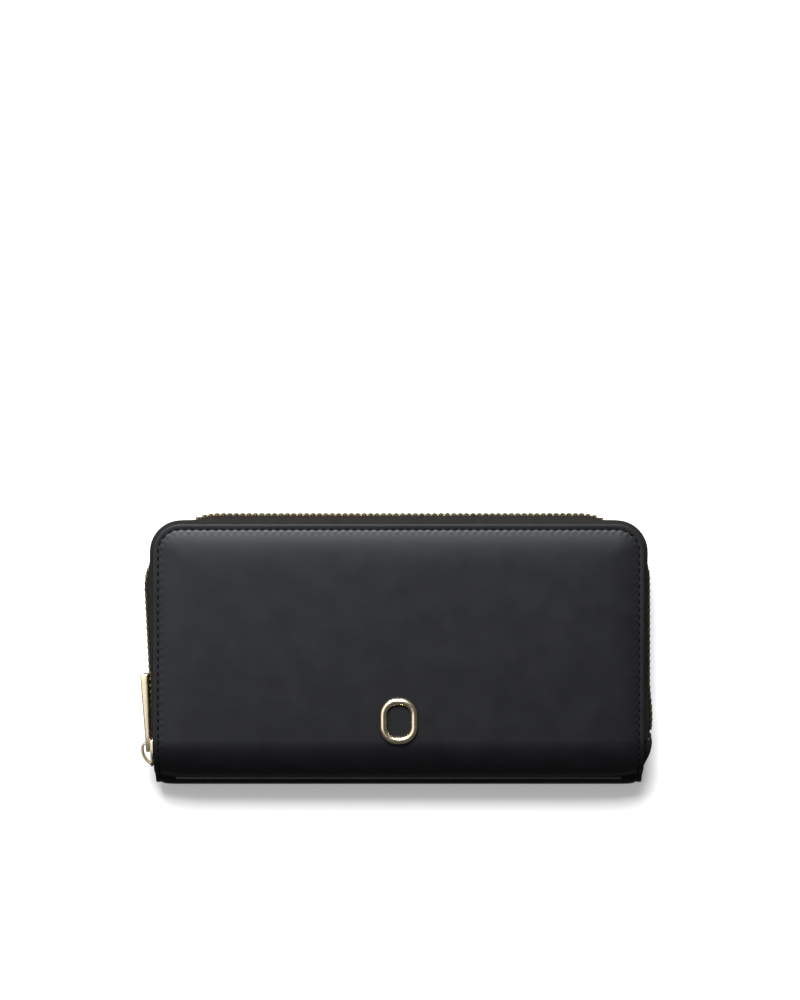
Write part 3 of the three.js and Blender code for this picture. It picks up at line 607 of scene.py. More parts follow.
def creaseHighlightBead():
    # A rounded bead along the crease. Its lighter grey paints in the fold's highlight line.
    c = creaseHighlightEdge
    low = (-c["halfWidth"], c["y"][0], c["z"][0])
    bead = block("spineEdgeHighlightBead", low, (c["halfWidth"], c["y"][1], c["z"][1]))
    roundEdges(bead, c["round"], segments=4)
    return finishPiece(bead, edgePaintHighlight, smooth=60)


spineHighlightEdge = creaseHighlightBead()
frontStitches = seamStitches("frontSeamStitches", frontShape, isBack=False)
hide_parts("front_cover_stitching")
backStitches = seamStitches("backSeamStitches", backShape, isBack=True)
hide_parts("back_cover_stitching")
print("seams stitched")


# The zip's path round three sides. Out is how far the chain's outer face stands from the cover's edge.
zipLine = {
    "start": -41.0,
    "mouth": -33.0,
    "end": -33.4,
    "sliderY": -37.6,
    "sliderOut": 0.82,
    "peakOut": 4.05,
    "peakY": 25.0,
    "cornerOut": 2.5,
    "topOut": 4.3,
    "rightOut": 2.9,
    "lowOut": 3.8,
    "lowY": -25.0,
    "easeRun": 14.0,
    "cornerTuck": 1.7,
}
chain = {
    "pitch": 2.47, "thickness": 2.4, "half": 2.9, "width": 1.32, "backTuck": 0.45,
    "startGap": 0.4, "endGap": 2.9,
}
tapeShape = {"thickness": 0.55, "step": 1.6}


def zipPlace(s):
    # The edge point at a length along the zip, the way out of it, the stand-off and how much it is a corner.
    z = zipLine
    r, halfWidth, topEdge = cover["cornerRadius"], cover["halfWidth"], cover["topEdge"]
    left = topEdge - r - z["start"]
    corner = pi / 2 * r
    top = 2 * (halfWidth - r)
    share = max(
        1 - ease((abs(s - start - corner / 2) - corner / 2) / 9)
        for start in (left, left + corner + top)
    )
    if s < left:
        y = z["start"] + s
        slope = (z["peakOut"] - z["sliderOut"]) / (z["peakY"] - z["sliderY"])
        out = z["sliderOut"] + (y - z["sliderY"]) * slope
        if y > z["peakY"]:
            back = ease((y - z["peakY"]) / (topEdge - r - z["peakY"]))
            out = z["peakOut"] + (z["cornerOut"] - z["peakOut"]) * back
        return Vector((-halfWidth, y, 0)), Vector((-1, 0, 0)), out, share
    if s < left + corner:
        angle = pi - (s - left) / r
        way = Vector((cos(angle), sin(angle), 0))
        return Vector((-halfWidth + r, topEdge - r, 0)) + r * way, way, z["cornerOut"], share
    if s < left + corner + top:
        along = s - left - corner
        swell = ease(min(along, top - along) / z["easeRun"])
        out = z["cornerOut"] + (z["topOut"] - z["cornerOut"]) * swell
        return Vector((-halfWidth + r + along, topEdge, 0)), Vector((0, 1, 0)), out, share
    if s < left + 2 * corner + top:
        angle = pi / 2 - (s - left - corner - top) / r
        way = Vector((cos(angle), sin(angle), 0))
        return Vector((halfWidth - r, topEdge - r, 0)) + r * way, way, z["cornerOut"], share
    y = topEdge - r - (s - left - 2 * corner - top)
    swell = ease((topEdge - r - y) / z["easeRun"])
    bulge = ease(1 - abs(y - z["lowY"]) / z["easeRun"])
    out = z["cornerOut"] + (z["rightOut"] - z["cornerOut"]) * swell
    out += (z["lowOut"] - z["rightOut"]) * bulge
    return Vector((halfWidth, y, 0)), Vector((1, 0, 0)), out, share


zipTotal = (
    2 * cover["topEdge"] - 2 * cover["cornerRadius"] - zipLine["start"] - zipLine["end"]
    + pi * cover["cornerRadius"] + 2 * (cover["halfWidth"] - cover["cornerRadius"])
)


def clothStrip(name, rings, thickness, material, lengths, uvName="weave"):
    # Cloth laid through a row of lines, with its weave laid out flat and then given its thickness.
    mesh = bpy.data.meshes.new(name)
    count = len(rings[0])
    points = [p for ring in rings for p in ring]
    faces = [
        (r * count + i, r * count + i + 1, (r + 1) * count + i + 1, (r + 1) * count + i)
        for r in range(len(rings) - 1) for i in range(count - 1)
    ]
    mesh.from_pydata(points, [], faces)
    weave = mesh.uv_layers.new(name=uvName)
    across = [0.0]
    for a, b in zip(rings[0], rings[0][1:]):
        across.append(across[-1] + (b - a).length)
    for polygon in mesh.polygons:
        for loop in polygon.loop_indices:
            index = mesh.loops[loop].vertex_index
            weave.data[loop].uv = (lengths[index // count] * metre, across[index % count] * metre)
    piece = bpy.data.objects.new(name, mesh)
    bpy.context.collection.objects.link(piece)
    applyModifier(piece, "SOLIDIFY", thickness=thickness, offset=0, use_even_offset=True)
    return finishPiece(piece, material, smooth=60), across[-1]


def zipTape(name, isBack, begin, finish, edgeDepth):
    rings, lengths = [], []
    s = begin
    while True:
        base, way, out, share = zipPlace(min(s, finish))
        chainOut = out - zipLine["cornerTuck"] * share - chain["thickness"] / 2
        bulge = 0.5 * chainOut + 0.35 + 1.15 * share
        flat = edgeDepth + cover["leather"] + 0.4
        section = [
            (-4.3, flat), (-2.6, flat), (-1.1, flat), (-0.3 + 0.2 * share, flat + 0.3),
            (0.2 + 0.2 * share, flat + 0.9), (0.5 * bulge + 0.4, flat + 1.8),
            (bulge, 5.2), (0.5 * (bulge + chainOut) + 0.2 * share, 6.3),
            (chainOut, 7.4), (chainOut, 8.2), (chainOut, 8.85),
        ]
        ring = []
        for outward, depth in section:
            height = depth if isBack else cover["thickness"] - depth
            ring.append(base + way * outward + Vector((0, 0, height)))
        rings.append(ring)
        lengths.append(min(s, finish))
        if s >= finish:
            break
        s += tapeShape["step"]
    piece, width = clothStrip(name, rings, tapeShape["thickness"], tapeCloth, lengths)
    return piece


frontBegin = zipLine["mouth"] - zipLine["start"]
backTape = zipTape("backZipTape", True, 0.0, zipTotal, backShape["edgeDepth"])
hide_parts("back_zip_tape")
frontTape = zipTape("frontZipTape", False, frontBegin, zipTotal, frontShape["edgeDepth"])
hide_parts("front_zip_tape")


def toothPattern():
    # One tooth, point down: legs clamped over the tape's cord, a waist and a rounded head.
    width, deep, half = chain["width"], chain["thickness"], chain["half"]
    pattern = block("tooth", (-width / 2, -deep, -0.9), (width / 2, 0, half))
    edit(pattern)
    bpy.ops.mesh.select_all(action="SELECT")
    pick(pattern, "FACE", lambda f: f.normal.z < -0.9)
    bpy.ops.mesh.extrude_region_move(TRANSFORM_OT_translate={"value": (0, 0, -0.55)})
    bpy.ops.transform.resize(value=(0.72, 0.62, 1), center_override=(0, -deep / 2, 0))
    pick(pattern, "FACE", lambda f: f.normal.z > 0.9)
    bpy.ops.mesh.inset(thickness=0.25)
    bpy.ops.transform.translate(value=(0, 0, 0.16))
    leaveEdit()
    roundEdges(pattern, 0.16, segments=1, angle=50)
    return pattern


def zipTeeth(name, isBack):
    pattern = toothPattern()
    middle = cover["thickness"] / 2
    places = []
    i = 0
    while True:
        s = frontBegin + chain["startGap"] + (i + (0.5 if isBack else 0.0)) * chain["pitch"]
        if s > zipTotal - chain["endGap"]:
            break
        base, way, out, share = zipPlace(s)
        tuck = zipLine["cornerTuck"] * share + (chain["backTuck"] * abs(way.y) if isBack else 0)
        up = Vector((0, 0, -1 if isBack else 1))
        along = way.cross(up)
        point = base + way * (out - tuck) + Vector((0, 0, middle))
        turn = Matrix((along, way, up)).transposed().to_4x4()
        places.append(Matrix.Translation(point) @ turn)
        i += 1
    joined = copiesOf(pattern, name, places)
    bpy.data.objects.remove(pattern)
    return finishPiece(joined, antiqueBrass, smooth=30)


frontTeeth = zipTeeth("frontZipTeeth", isBack=False)
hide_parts("front_zip_teeth")
backTeeth = zipTeeth("backZipTeeth", isBack=True)
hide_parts("back_zip_teeth")
print("zip modelled")


# The slider's own axes: x along the chain towards its closed part, y out of its face, z across it.
# The pull tab lies at tabRise above the chain's face.
sliderShape = {
    "rear": 4.1, "front": 6.4, "halfRear": 4.0, "halfFront": 4.5, "plate": 0.7, "gap": 0.25,
    "bailWidth": 2.8, "bailThickness": 1.35,
    "bail": [
        (2.9, 0.5), (2.75, 2.6), (2.0, 4.0), (0.7, 4.2),
        (-1.2, 4.15), (-3.2, 3.45), (-5.0, 2.1), (-5.9, 0.4),
    ],
    "tabRise": 1.55,
}


def sliderFrame():
    z = zipLine
    slope = atan((z["peakOut"] - z["sliderOut"]) / (z["peakY"] - z["sliderY"]))
    centre = (-cover["halfWidth"] - z["sliderOut"], z["sliderY"], cover["thickness"] / 2)
    return Matrix.Translation(centre) @ Matrix.Rotation(pi / 2 + slope, 4, "Z")


def taperedPlate(name, outline, low, high):
    # A plate between two heights out of the chain, from its outline seen from outside.
    mesh = bpy.data.meshes.new(name)
    mesh.from_pydata([(x, low, z) for x, z in outline], [], [tuple(range(len(outline)))])
    piece = bpy.data.objects.new(name, mesh)
    bpy.context.collection.objects.link(piece)
    edit(piece)
    bpy.ops.mesh.select_all(action="SELECT")
    bpy.ops.mesh.extrude_region_move(TRANSFORM_OT_translate={"value": (0, high - low, 0)})
    leaveEdit()
    faceOutwards(piece)
    return piece


def sliderBody(name):
    s = sliderShape
    deep = -chain["thickness"] - s["gap"]
    half = [
        (s["rear"], 0.0), (s["rear"], s["halfRear"] - 0.8), (s["rear"] - 0.8, s["halfRear"]),
        (0.0, s["halfRear"]), (1.5 - s["front"], s["halfFront"]), (-s["front"], s["halfFront"] - 1.3),
    ]
    outline = half + [(x, -z) for x, z in reversed(half[1:])]
    outer = taperedPlate(name, outline, s["gap"], s["gap"] + s["plate"])
    inner = taperedPlate(name + "Inner", outline, deep - s["plate"], deep)
    roundEdges(outer, 0.25, segments=3)
    roundEdges(inner, 0.25, segments=2)
    parts = [outer, inner]
    # Side flanges, bent over to hold the teeth, and the wedge that parts them.
    for end in (-1, 1):
        high = (s["rear"] - 0.3, s["gap"] + 0.3, 0.75)
        flange = block(name + "Flange", (-s["front"] + 1.8, -0.65, 0), high)
        flange.location.z = s["halfRear"] - 0.8 if end > 0 else -s["halfRear"] + 0.05
        bpy.ops.object.transform_apply(location=True, rotation=False, scale=False)
        roundEdges(flange, 0.2, segments=2)
        parts.append(flange)
    wedge = block(name + "Wedge", (-s["front"] + 0.4, deep - 0.1, -0.7), (-3.4, s["gap"] + 0.1, 0.7))
    edit(wedge)
    pick(wedge, "FACE", lambda f: f.normal.x > 0.9)
    bpy.ops.transform.resize(value=(1, 1, 0.25))
    leaveEdit()
    parts.append(wedge)
    parts.append(wireStrap(name + "Bail", s["bail"], s["bailWidth"], s["bailThickness"]))
    focus(*parts)
    bpy.ops.object.join()
    body = bpy.context.object
    body.name = name
    return body


def wireStrap(name, points, width, thickness):
    # A flat wire bent along a smooth line in the slider's own x and y.
    curve = bpy.data.curves.new(name, "CURVE")
    curve.dimensions = "3D"
    spline = curve.splines.new("NURBS")
    spline.points.add(len(points) - 1)
    for target, (x, y) in zip(spline.points, points):
        target.co = (x, y, 0, 1)
    spline.order_u = 4
    spline.use_endpoint_u = True
    spline.resolution_u = 6
    curve.twist_mode = "Z_UP"
    curve.extrude = width / 2 - thickness / 3
    curve.bevel_depth = thickness / 3
    curve.bevel_resolution = 2
    curve.use_fill_caps = True
    strap = bpy.data.objects.new(name, curve)
    bpy.context.collection.objects.link(strap)
    focus(strap)
    bpy.ops.object.convert(target="MESH")
    strap = bpy.context.object
    faceOutwards(strap)
    return strap


tabShape = {
    "length": 30.0, "rootHalf": 2.6, "rootThickness": 1.9, "endHalf": 4.0, "endThickness": 2.9,
    "pinHalf": 0.75, "windowEnd": 4.4, "windowHalf": 1.75,
}


def pullTab(name, shape):
    # A tapered bar that is thicker at its free end, with a window at its root for the bail.
    length = shape["length"]
    tab = block(name, (-shape["pinHalf"], -0.5, -1), (length - 0.75, 0.5, 1))
    edit(tab)
    bpy.ops.mesh.select_all(action="SELECT")
    bpy.ops.mesh.bisect(plane_co=(shape["windowEnd"] + 1.2, 0, 0), plane_no=(1, 0, 0))
    bpy.ops.mesh.select_all(action="SELECT")
    bpy.ops.mesh.bisect(plane_co=(length - 3.0, 0, 0), plane_no=(1, 0, 0))
    stations = [
        (-1, shape["windowEnd"] + 0.5, shape["rootHalf"], shape["rootThickness"]),
        (shape["windowEnd"] + 0.5, length - 4.0, shape["rootHalf"] + 0.1, shape["rootThickness"]),
        (length - 4.0, length + 1, shape["endHalf"], shape["endThickness"]),
    ]
    for low, high, halfWidth, thickness in stations:
        pick(tab, "VERT", lambda v: low < v.co.x <= high)
        bpy.ops.transform.resize(value=(1, thickness, halfWidth), center_override=(0, 0, 0))
    leaveEdit()
    low = (shape["pinHalf"], -3, -shape["windowHalf"])
    hole = block("windowCutter", low, (shape["windowEnd"], 3, shape["windowHalf"]))
    roundEdges(hole, 0.5, segments=3)
    applyModifier(tab, "BOOLEAN", object=hole, operation="DIFFERENCE", solver="EXACT")
    bpy.data.objects.remove(hole)
    faceOutwards(tab)
    roundEdges(tab, 0.42, segments=4, angle=35)
    return tab


def hangTab(tab, frameMatrix, tilt, lean):
    turn = Matrix.Rotation(lean, 4, "Z") @ Matrix.Rotation(tilt, 4, "X")
    place = Matrix.Translation((0, sliderShape["tabRise"], 0))
    tab.matrix_world = frameMatrix @ place @ turn


mainSlider = sliderBody("zipSlider")
mainSlider.matrix_world = sliderFrame()
finishPiece(mainSlider, paleGold, smooth=40)
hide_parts("slider_body")
mainTab = pullTab("zipPullTab", tabShape)
hangTab(mainTab, sliderFrame(), radians(-3.4), 0)
finishPiece(mainTab, paleGold, smooth=40)
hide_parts("pull_tab")

emblemShape = {
    "width": 14.5, "height": 17.6, "wire": 2.7, "y": -25.8, "corner": 5.2, "seat": 24.02, "flat": 0.7,
}


def emblemRing():
    # Round wire bent to a cushion shape: a plate's outline, rounded, then given its thickness.
    e = emblemShape
    clearSelection()
    bpy.ops.mesh.primitive_plane_add(size=1, location=(0, e["y"], e["seat"] + e["wire"] / 2))
    ring = bpy.context.object
    ring.name = "frontEmblem"
    ring.scale = (e["width"] - e["wire"], e["height"] - e["wire"], 1)
    bpy.ops.object.transform_apply(location=False, rotation=False, scale=True)
    edit(ring)
    bpy.ops.mesh.select_all(action="SELECT")
    bpy.ops.mesh.bevel(offset=e["corner"], segments=14, profile=0.5, affect="VERTICES")
    bpy.ops.mesh.select_all(action="SELECT")
    bpy.ops.mesh.delete(type="ONLY_FACE")
    leaveEdit()
    bpy.ops.object.convert(target="CURVE")
    ring = bpy.context.object
    ring.data.bevel_depth = e["wire"] / 2
    ring.data.resolution_u = 24
    ring.data.bevel_resolution = 8
    bpy.ops.object.convert(target="MESH")
    ring = bpy.context.object
    faceOutwards(ring)
    # The wire is pressed to a flat oval, so its face is broad and low.
    edit(ring)
    bpy.ops.mesh.select_all(action="SELECT")
    bpy.ops.transform.resize(value=(1, 1, e["flat"]), center_override=(0, e["y"], e["seat"]))
    leaveEdit()
    return finishPiece(ring, paleGold, smooth=60)


emblem = emblemRing()
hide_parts("emblem")
print("hardware modelled")


endTabShape = {
    "start": -32.5, "length": 11.6, "round": 0.85, "inner": 2.4, "outer": 3.5, "low": 4.3, "high": 19.7,
    "profile": [(3.2, 5.0), (3.3, 5.0), (3.1, 5.1), (2.65, 5.4), (1.9, 5.9), (0.9, 6.6), (0.1, 7.4)],
}


def zipEndTab():
    # Leather wrapped over the chain's end, tapering as it goes under the spine.
    t = endTabShape
    right = cover["halfWidth"]
    middle = cover["thickness"] / 2
    steps = len(t["profile"]) - 1
    low = (right - t["inner"], t["start"] - t["length"], t["low"])
    tab = block("zipEndTab", low, (right + t["outer"], t["start"], t["high"]))
    edit(tab)
    for i in range(1, steps):
        bpy.ops.mesh.select_all(action="SELECT")
        y = t["start"] - t["length"] * i / steps
        bpy.ops.mesh.bisect(plane_co=(0, y, 0), plane_no=(0, 1, 0))
    for i, (out, depth) in enumerate(t["profile"]):
        y = t["start"] - t["length"] * i / steps
        pick(tab, "VERT", lambda v: abs(v.co.y - y) < 0.01)
        wide = (out + t["inner"]) / (t["outer"] + t["inner"])
        tall = (middle - depth) / (middle - t["low"])
        bpy.ops.transform.resize(value=(wide, 1, tall), center_override=(right - t["inner"], y, middle))
    leaveEdit()
    roundEdges(tab, t["round"], segments=5, angle=40)
    return finishPiece(tab, tabLeather, smooth=60)


endTab = zipEndTab()
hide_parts("zip_end_tab")


# Linings, card pockets and foam. Depths are measured in from each cover's outer face.
inside = {
    "lining": {
        "halfWidth": 92.8, "low": -40.8, "high": 48.1, "depth": 3.2, "thickness": 0.4, "radius": 9.3,
    },
    "pocket": {
        "halfWidth": 88.0, "low": -40.4, "tops": (39.0, 27.0, 15.0), "depth": 3.7, "pitch": 0.6,
        "thickness": 0.5, "hem": 3.0, "hemRise": 0.12, "radius": 2.5, "stitchDrop": 1.7,
    },
    "foam": {"halfWidth": 89.2, "low": -35.0, "high": 44.5, "radius": 5.7, "depth": 2.2, "rim": 0.12},
    "stitchPitch": 2.6,
    "stitchSize": (2.0, 0.5, 0.3),
}


def placedAt(isBack, depth):
    # The height of a depth below a cover's outer face.
    return depth if isBack else cover["thickness"] - depth


def layerPlate(name, isBack, spec, radius):
    near = placedAt(isBack, spec["depth"])
    far = placedAt(isBack, spec["depth"] + spec["thickness"])
    low = (-spec["halfWidth"], spec["low"], min(near, far))
    high = (spec["halfWidth"], spec["high"], max(near, far))
    piece = block(name, low, high)
    edit(piece)
    pick(piece, "EDGE", lambda e: all(abs(v.co.y - spec["high"]) < 0.01 for v in e.verts)
         and abs(e.verts[0].co.x - e.verts[1].co.x) < 0.01)
    bpy.ops.mesh.bevel(offset=radius, segments=8)
    leaveEdit()
    return piece


def lowStitchPattern():
    clearSelection()
    bpy.ops.mesh.primitive_cylinder_add(vertices=6, radius=0.5, depth=1, rotation=(0, pi / 2, 0))
    pattern = bpy.context.object
    bpy.ops.object.transform_apply(location=False, rotation=True, scale=False)
    pattern.scale = inside["stitchSize"]
    bpy.ops.object.transform_apply(location=False, rotation=False, scale=True)
    applyModifier(pattern, "BEVEL", width=0.1, segments=1, limit_method="ANGLE", angle_limit=radians(60))
    return pattern


def stitchRow(name, begin, finish, up, pitch=inside["stitchPitch"]):
    # A straight row of stitches between two points.
    begin, finish = Vector(begin), Vector(finish)
    count = int((finish - begin).length / pitch)
    step = (finish - begin) / count
    places = [placeAxes(begin + step * (k + 0.5), step, up) for k in range(count)]
    pattern = lowStitchPattern()
    row = copiesOf(pattern, name, places)
    bpy.data.objects.remove(pattern)
    return finishPiece(row, threadFibre, smooth=60)


def cardPocket(name, isBack, index):
    p = inside["pocket"]
    top = p["tops"][index]
    spec = dict(p, depth=p["depth"] + index * p["pitch"], high=top)
    piece = layerPlate(name, isBack, spec, p["radius"])
    inward = 1 if isBack else -1
    # The mouth is turned over and stitched, so its band stands a little proud.
    edit(piece)
    bpy.ops.mesh.select_all(action="SELECT")
    bpy.ops.mesh.bisect(plane_co=(0, top - p["hem"], 0), plane_no=(0, 1, 0))
    pick(piece, "FACE", lambda f: f.normal.z * inward > 0.9 and f.calc_center_median().y > top - p["hem"])
    bpy.ops.mesh.inset(thickness=0.12)
    bpy.ops.transform.translate(value=(0, 0, inward * p["hemRise"]))
    leaveEdit()
    roundEdges(piece, 0.09, segments=2)
    finishPiece(piece, innerLeather, smooth=40)
    height = placedAt(isBack, spec["depth"] + p["thickness"] + p["hemRise"] + 0.04)
    y = top - p["stitchDrop"]
    edge = p["halfWidth"] - 2
    stitches = stitchRow(name + "Stitches", (-edge, y, height), (edge, y, height), (0, 0, inward))
    return piece, stitches


def coverLining(name, isBack):
    spec = inside["lining"]
    piece = layerPlate(name, isBack, spec, spec["radius"])
    roundEdges(piece, 0.12, segments=2)
    finishPiece(piece, liningCloth, smooth=40)
    return piece


def foamPad(name, isBack):
    # Foam cut to the board, thin at its rim where the leather pulls it down.
    spec = inside["foam"]
    underside = placedAt(isBack, spec["depth"])
    outward = -1 if isBack else 1
    rim = underside + outward * spec["rim"]
    pad = block(name, (-spec["halfWidth"], spec["low"], min(underside, rim)),
                (spec["halfWidth"], spec["high"], max(underside, rim)))
    edit(pad)
    pick(pad, "EDGE", lambda e: all(v.co.y > 40 for v in e.verts)
         and abs(e.verts[0].co.x - e.verts[1].co.x) < 0.01)
    bpy.ops.mesh.bevel(offset=spec["radius"], segments=6)
    pick(pad, "FACE", lambda f: f.normal.z * outward > 0.9)
    for width, rise in [(1.5, 0.12), (3.0, 0.2)]:
        bpy.ops.mesh.inset(thickness=width)
        bpy.ops.transform.translate(value=(0, 0, outward * rise))
    for width, rise in [(8.0, 0.14), (14.0, 0.08)] if not isBack else [(8.0, 0.1)]:
        bpy.ops.mesh.extrude_region_move(TRANSFORM_OT_translate={"value": (0, 0, outward * rise)})
        bpy.ops.transform.resize(value=(1 - width / 85, 1 - width / 36, 1), center_override=(0, 4.75, 0))
    leaveEdit()
    finishPiece(pad, foamSheet, smooth=60)
    return pad


coverPieces = {"root": [], "front_cover": []}
for isBack, body, word in [(True, "root", "back"), (False, "front_cover", "front")]:
    for index in range(3):
        pocket, stitches = cardPocket(word + "CardPocket" + "ABC"[index], isBack, index)
        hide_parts(word + "_card_pocket_" + str(index + 1))
        coverPieces[body] += [pocket, stitches]
    cloth = coverLining(word + "CoverLining", isBack)
    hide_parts(word + "_cover_lining")
    pad = foamPad(word + "CoverFoam", isBack)
    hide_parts(word + "_cover_padding")
    coverPieces[body] += [cloth, pad]
print("covers lined")


# The coin pocket between the covers, closed by a smaller zip.
coin = {
    "halfWidth": 88.0, "low": -43.0, "high": 40.0, "wall": 0.6, "faces": (10.0, 14.0),
    "scale": 0.72, "chainTop": 43.428, "chainLow": -66.4, "chainHigh": 60.4, "tapeHalf": 68.0,
    "sliderX": 61.5, "corner": 3.0, "stitchDrop": 4.6, "stitchEdge": 66.0, "stitchPitch": 2.2,
}
# Bound seams and folded strips, as their lowest and highest corners and how round they are.
bindings = {
    "coinBottomFold": ((-88, -43, 10.7), (88, -41, 13.3), 0.9),
    "coinLeftSeam": ((-88, -40.9, 10.7), (-86, 40, 13.3), 0.7),
    "coinRightSeam": ((86, -40.9, 10.7), (88, 40, 13.3), 0.7),
    "spineLining": ((-90, -45.8, 7.5), (90, -45.3, 16.5), 0.2),
}


def coinFrame():
    place = Matrix.Translation((coin["sliderX"], coin["chainTop"], cover["thickness"] / 2))
    return place @ Matrix.Rotation(pi, 4, "Y") @ Matrix.Scale(coin["scale"], 4)


def coinWall(name, isBack):
    outer = coin["faces"][0 if isBack else 1]
    inner = outer + (coin["wall"] if isBack else -coin["wall"])
    wall = block(name, (-coin["halfWidth"], coin["low"], min(outer, inner)),
                 (coin["halfWidth"], coin["high"], max(outer, inner)))
    edit(wall)
    pick(wall, "EDGE", lambda e: all(abs(v.co.y - coin["high"]) < 0.01 for v in e.verts)
         and abs(e.verts[0].co.x - e.verts[1].co.x) < 0.01)
    bpy.ops.mesh.bevel(offset=coin["corner"], segments=6)
    leaveEdit()
    roundEdges(wall, 0.15, segments=2)
    finishPiece(wall, innerLeather, smooth=40)
    away = -1 if isBack else 1
    height = outer + away * 0.64
    y, edge = coin["high"] - coin["stitchDrop"], coin["stitchEdge"]
    ends = (-edge, y, height), (edge, y, height)
    stitches = stitchRow(name + "Stitches", *ends, (0, 0, away), coin["stitchPitch"])
    return wall, stitches


def coinTape(name, isBack):
    section = [
        (42.56, 2.33), (42.56, 3.0), (42.5, 3.65), (42.1, 4.05), (41.6, 4.12), (40.6, 3.9),
        (39.4, 3.55), (38.4, 3.0), (37.4, 2.44), (35.4, 2.42), (33.45, 2.42),
    ]
    side = -1 if isBack else 1
    rings, lengths = [], []
    for k in range(69):
        x = -coin["tapeHalf"] + 2 * coin["tapeHalf"] * k / 68
        rings.append([Vector((x, y, 12 + side * away)) for y, away in section])
        lengths.append(x + coin["tapeHalf"])
    piece, width = clothStrip(name, rings, 0.4, tapeCloth, lengths)
    return piece


def coinTeeth():
    pattern = toothPattern()
    size = coin["scale"]
    pitch = chain["pitch"] * size
    places = []
    for isBack in (False, True):
        up = Vector((0, 0, -1 if isBack else 1))
        x = coin["chainLow"] + (pitch / 2 if isBack else 0)
        while x < coin["chainHigh"]:
            turn = Matrix((Vector((0, 1, 0)).cross(up), Vector((0, 1, 0)), up)).transposed().to_4x4()
            places.append(Matrix.Translation((x, coin["chainTop"], 12)) @ turn @ Matrix.Scale(size, 4))
            x += pitch
    joined = copiesOf(pattern, "coinZipTeeth", places)
    bpy.data.objects.remove(pattern)
    return finishPiece(joined, antiqueBrass, smooth=30)


def seamStrip(name):
    # A bound seam or folded strip: a long piece with well rounded edges.
    low, high, bevel = bindings[name]
    piece = block(name, low, high)
    roundEdges(piece, bevel, segments=4)
    finishPiece(piece, liningCloth, smooth=50)
    return piece


centrePieces = []
for isBack, word in [(True, "back"), (False, "front")]:
    wall, stitches = coinWall("coin" + word.title() + "Wall", isBack)
    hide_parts("coin_pocket_" + word + "_wall")
    strip = coinTape("coin" + word.title() + "Tape", isBack)
    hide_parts("coin_zip_tape_" + word)
    centrePieces += [wall, stitches, strip]
fold = seamStrip("coinBottomFold")
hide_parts("coin_pocket_bottom_fold")
leftSeam = seamStrip("coinLeftSeam")
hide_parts("coin_pocket_seam_left")
rightSeam = seamStrip("coinRightSeam")
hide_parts("coin_pocket_seam_right")
spineCloth = seamStrip("spineLining")
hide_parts("spine_lining")
coinChain = coinTeeth()
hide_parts("coin_zip_teeth")
centrePieces += [fold, leftSeam, rightSeam, spineCloth, coinChain]

coinTabShape = dict(tabShape, length=20.0, rootThickness=1.5, endHalf=3.0, endThickness=1.8)
coinSlider = sliderBody("coinSlider")
coinSlider.matrix_world = coinFrame()
finishPiece(coinSlider, paleGold, smooth=40)
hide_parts("coin_slider_body")
coinTab = pullTab("coinPullTab", coinTabShape)
hangTab(coinTab, coinFrame(), radians(3), radians(-1))
finishPiece(coinTab, paleGold, smooth=40)
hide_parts("coin_pull_tab")
print("coin pocket modelled")


# Gussets fold inwards at the sides, between each cover and the coin pocket.
gussetShape = {"start": -41.0, "finish": 6.0, "thickness": 0.45, "fold": 13.3, "spineFold": 9.5}


def sideGusset(name, isBack, end):
    g = gussetShape
    rings, lengths = [], []
    for k in range(25):
        y = g["start"] + (g["finish"] - g["start"]) * k / 24
        fold = g["spineFold"] + (g["fold"] - g["spineFold"]) * ease(k / 14)
        section = [
            (2.7, 3.96), (3.7, 4.12), (4.6, 5.0), (5.4, 5.95), (7.4, 6.5), (0.5 * (fold + 7.4), 7.0),
            (fold - 0.3, 7.45), (fold, 7.75), (fold - 0.4, 8.05), (0.5 * (fold + 7.6), 8.8), (7.6, 9.5),
        ]
        rings.append([
            Vector((end * (cover["halfWidth"] - inset), y, placedAt(isBack, depth)))
            for inset, depth in section
        ])
        lengths.append(y - g["start"])
    piece, width = clothStrip(name, rings, g["thickness"], innerLeather, lengths)
    return piece


gussets = {"back": [], "front": []}
for isBack, word in [(True, "back"), (False, "front")]:
    for end, sideWord in [(-1, "left"), (1, "right")]:
        piece = sideGusset(word + sideWord.title() + "Gusset", isBack, end)
        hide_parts("gusset_" + word + "_" + sideWord)
        gussets[word].append(piece)


def tapeEnd():
    # The front tape's loose end, tucked in beside the slider.
    rings, lengths = [], []
    for k in range(8):
        s = 7.6 * k / 7
        base, way, out, _ = zipPlace(s)
        middle = out - chain["thickness"] / 2
        section = [(0.25, 4.4), (0.4 * middle, 5.4), (middle, 7.0), (middle, 7.9), (middle, 8.8)]
        rings.append([base + way * o + Vector((0, 0, cover["thickness"] - d)) for o, d in section])
        lengths.append(s)
    piece, _ = clothStrip("frontTapeEnd", rings, 0.5, tapeCloth, lengths)
    return piece


looseEnd = tapeEnd()
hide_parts("front_zip_tape_end")
print("gussets folded")


for piece, body in [
    (backTape, "root"), (backTeeth, "root"), (spineHighlightEdge, "centre"), (frontTape, "front_cover"),
    (frontTeeth, "front_cover"), (emblem, "front_cover"), (endTab, "centre"), (mainSlider, "slider"),
    (mainTab, "pull_tab"), (looseEnd, "front_cover"), (coinSlider, "coin_slider"), (coinTab, "coin_pull_tab"),
]:
    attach(piece, body)
for body, items in coverPieces.items():
    for piece in items:
        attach(piece, body)
for piece in centrePieces:
    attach(piece, "centre")
for piece in gussets["back"]:
    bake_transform(piece)
for piece in gussets["front"]:
    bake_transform(piece)
for piece in (frontLeather, frontStitches):
    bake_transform(piece)
for piece in (backLeather, backStitches):
    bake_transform(piece)

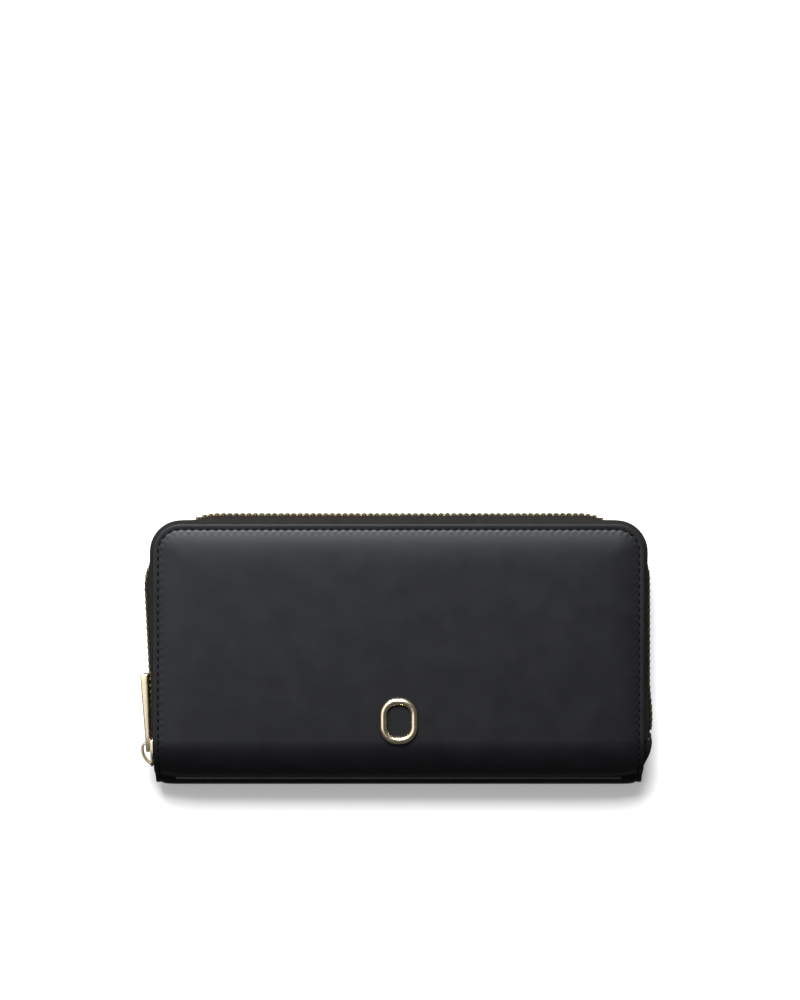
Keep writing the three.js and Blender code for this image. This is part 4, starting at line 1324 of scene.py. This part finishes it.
# Carried-over pieces keep their shape and get their finish.
finishes = {
    "back_cover_board": fibreBoard,
    "front_cover_board": fibreBoard,
    "zip_bottom_stop": antiqueBrass,
    "coin_zip_stop_left": antiqueBrass,
    "coin_zip_stop_right": antiqueBrass,
    "emblem_backing": paleGold,
}
for nodeName, material in finishes.items():
    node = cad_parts[nodeName]
    node.data.materials.clear()
    node.data.materials.append(material)


# A pale table under two soft boxes.
studio = {
    "floorHexes": ("c6c6c6", "cacaca"),
    "floorGlow": 0.3,
    "world": 0.075,
    "key": {"place": (-0.14, 0.9, 1.02), "size": (0.75, 0.6), "watts": 56},
    "top": {"place": (-1.05, 0.5, 1.6), "size": (1.7, 1.7), "watts": 10.6, "level": True},
}


def softbox(name, spec):
    data = bpy.data.lights.new(name, "AREA")
    data.shape = "RECTANGLE"
    data.size, data.size_y = spec["size"]
    data.energy = spec["watts"]
    lamp = bpy.data.objects.new(name, data)
    bpy.context.collection.objects.link(lamp)
    lamp.location = spec["place"]
    lamp.rotation_mode = "QUATERNION"
    if not spec.get("level"):
        lamp.rotation_quaternion = (-Vector(spec["place"])).to_track_quat("-Z", "Y")


def floorPiece():
    clearSelection()
    bpy.ops.mesh.primitive_plane_add(size=8, location=(0, 0, -0.0002))
    floor = bpy.context.object
    floor.name = "studioFloor"
    material, tree, surface = newMaterial("paintedStudioFloor", Roughness=0.9)
    tone = noise(tree, objectPoint(tree), 400, detail=2)
    colour = ramp(tree, tone, [(0.2, studio["floorHexes"][0]), (0.8, studio["floorHexes"][1])])
    tree.links.new(colour, surface.inputs["Base Color"])
    # Lit from below like a light table, and kept out of the reflections.
    surface.inputs["Emission Color"].default_value = (1, 1, 1, 1)
    surface.inputs["Emission Strength"].default_value = studio["floorGlow"]
    floor.visible_glossy = False
    floor.data.materials.append(material)


floorPiece()
softbox("keySoftbox", studio["key"])
softbox("topSoftbox", studio["top"])
world = bpy.data.worlds.new("studioWorld")
bpy.context.scene.world = world
world.use_nodes = True
background = world.node_tree.nodes["Background"]
background.inputs["Color"].default_value = (1, 1, 1, 1)
background.inputs["Strength"].default_value = studio["world"]
bpy.context.scene.view_settings.view_transform = "Standard"

# Straight above the wallet, with a long lens; a camera with no turn looks down.
cameraPlace = {"x": 0.00048, "y": 0.05863, "height": 1.1, "lens": 101.4, "sensor": 36}
cameraData = bpy.data.cameras.new("shopCamera")
cameraData.lens = cameraPlace["lens"]
cameraData.sensor_width = cameraPlace["sensor"]
cameraData.clip_start = 0.05
shopCamera = bpy.data.objects.new("shopCamera", cameraData)
bpy.context.collection.objects.link(shopCamera)
shopCamera.location = (cameraPlace["x"], cameraPlace["y"], cameraPlace["height"])
shopCamera.rotation_euler = (0, 0, 0)
bpy.context.scene.camera = shopCamera

print("studio ready")
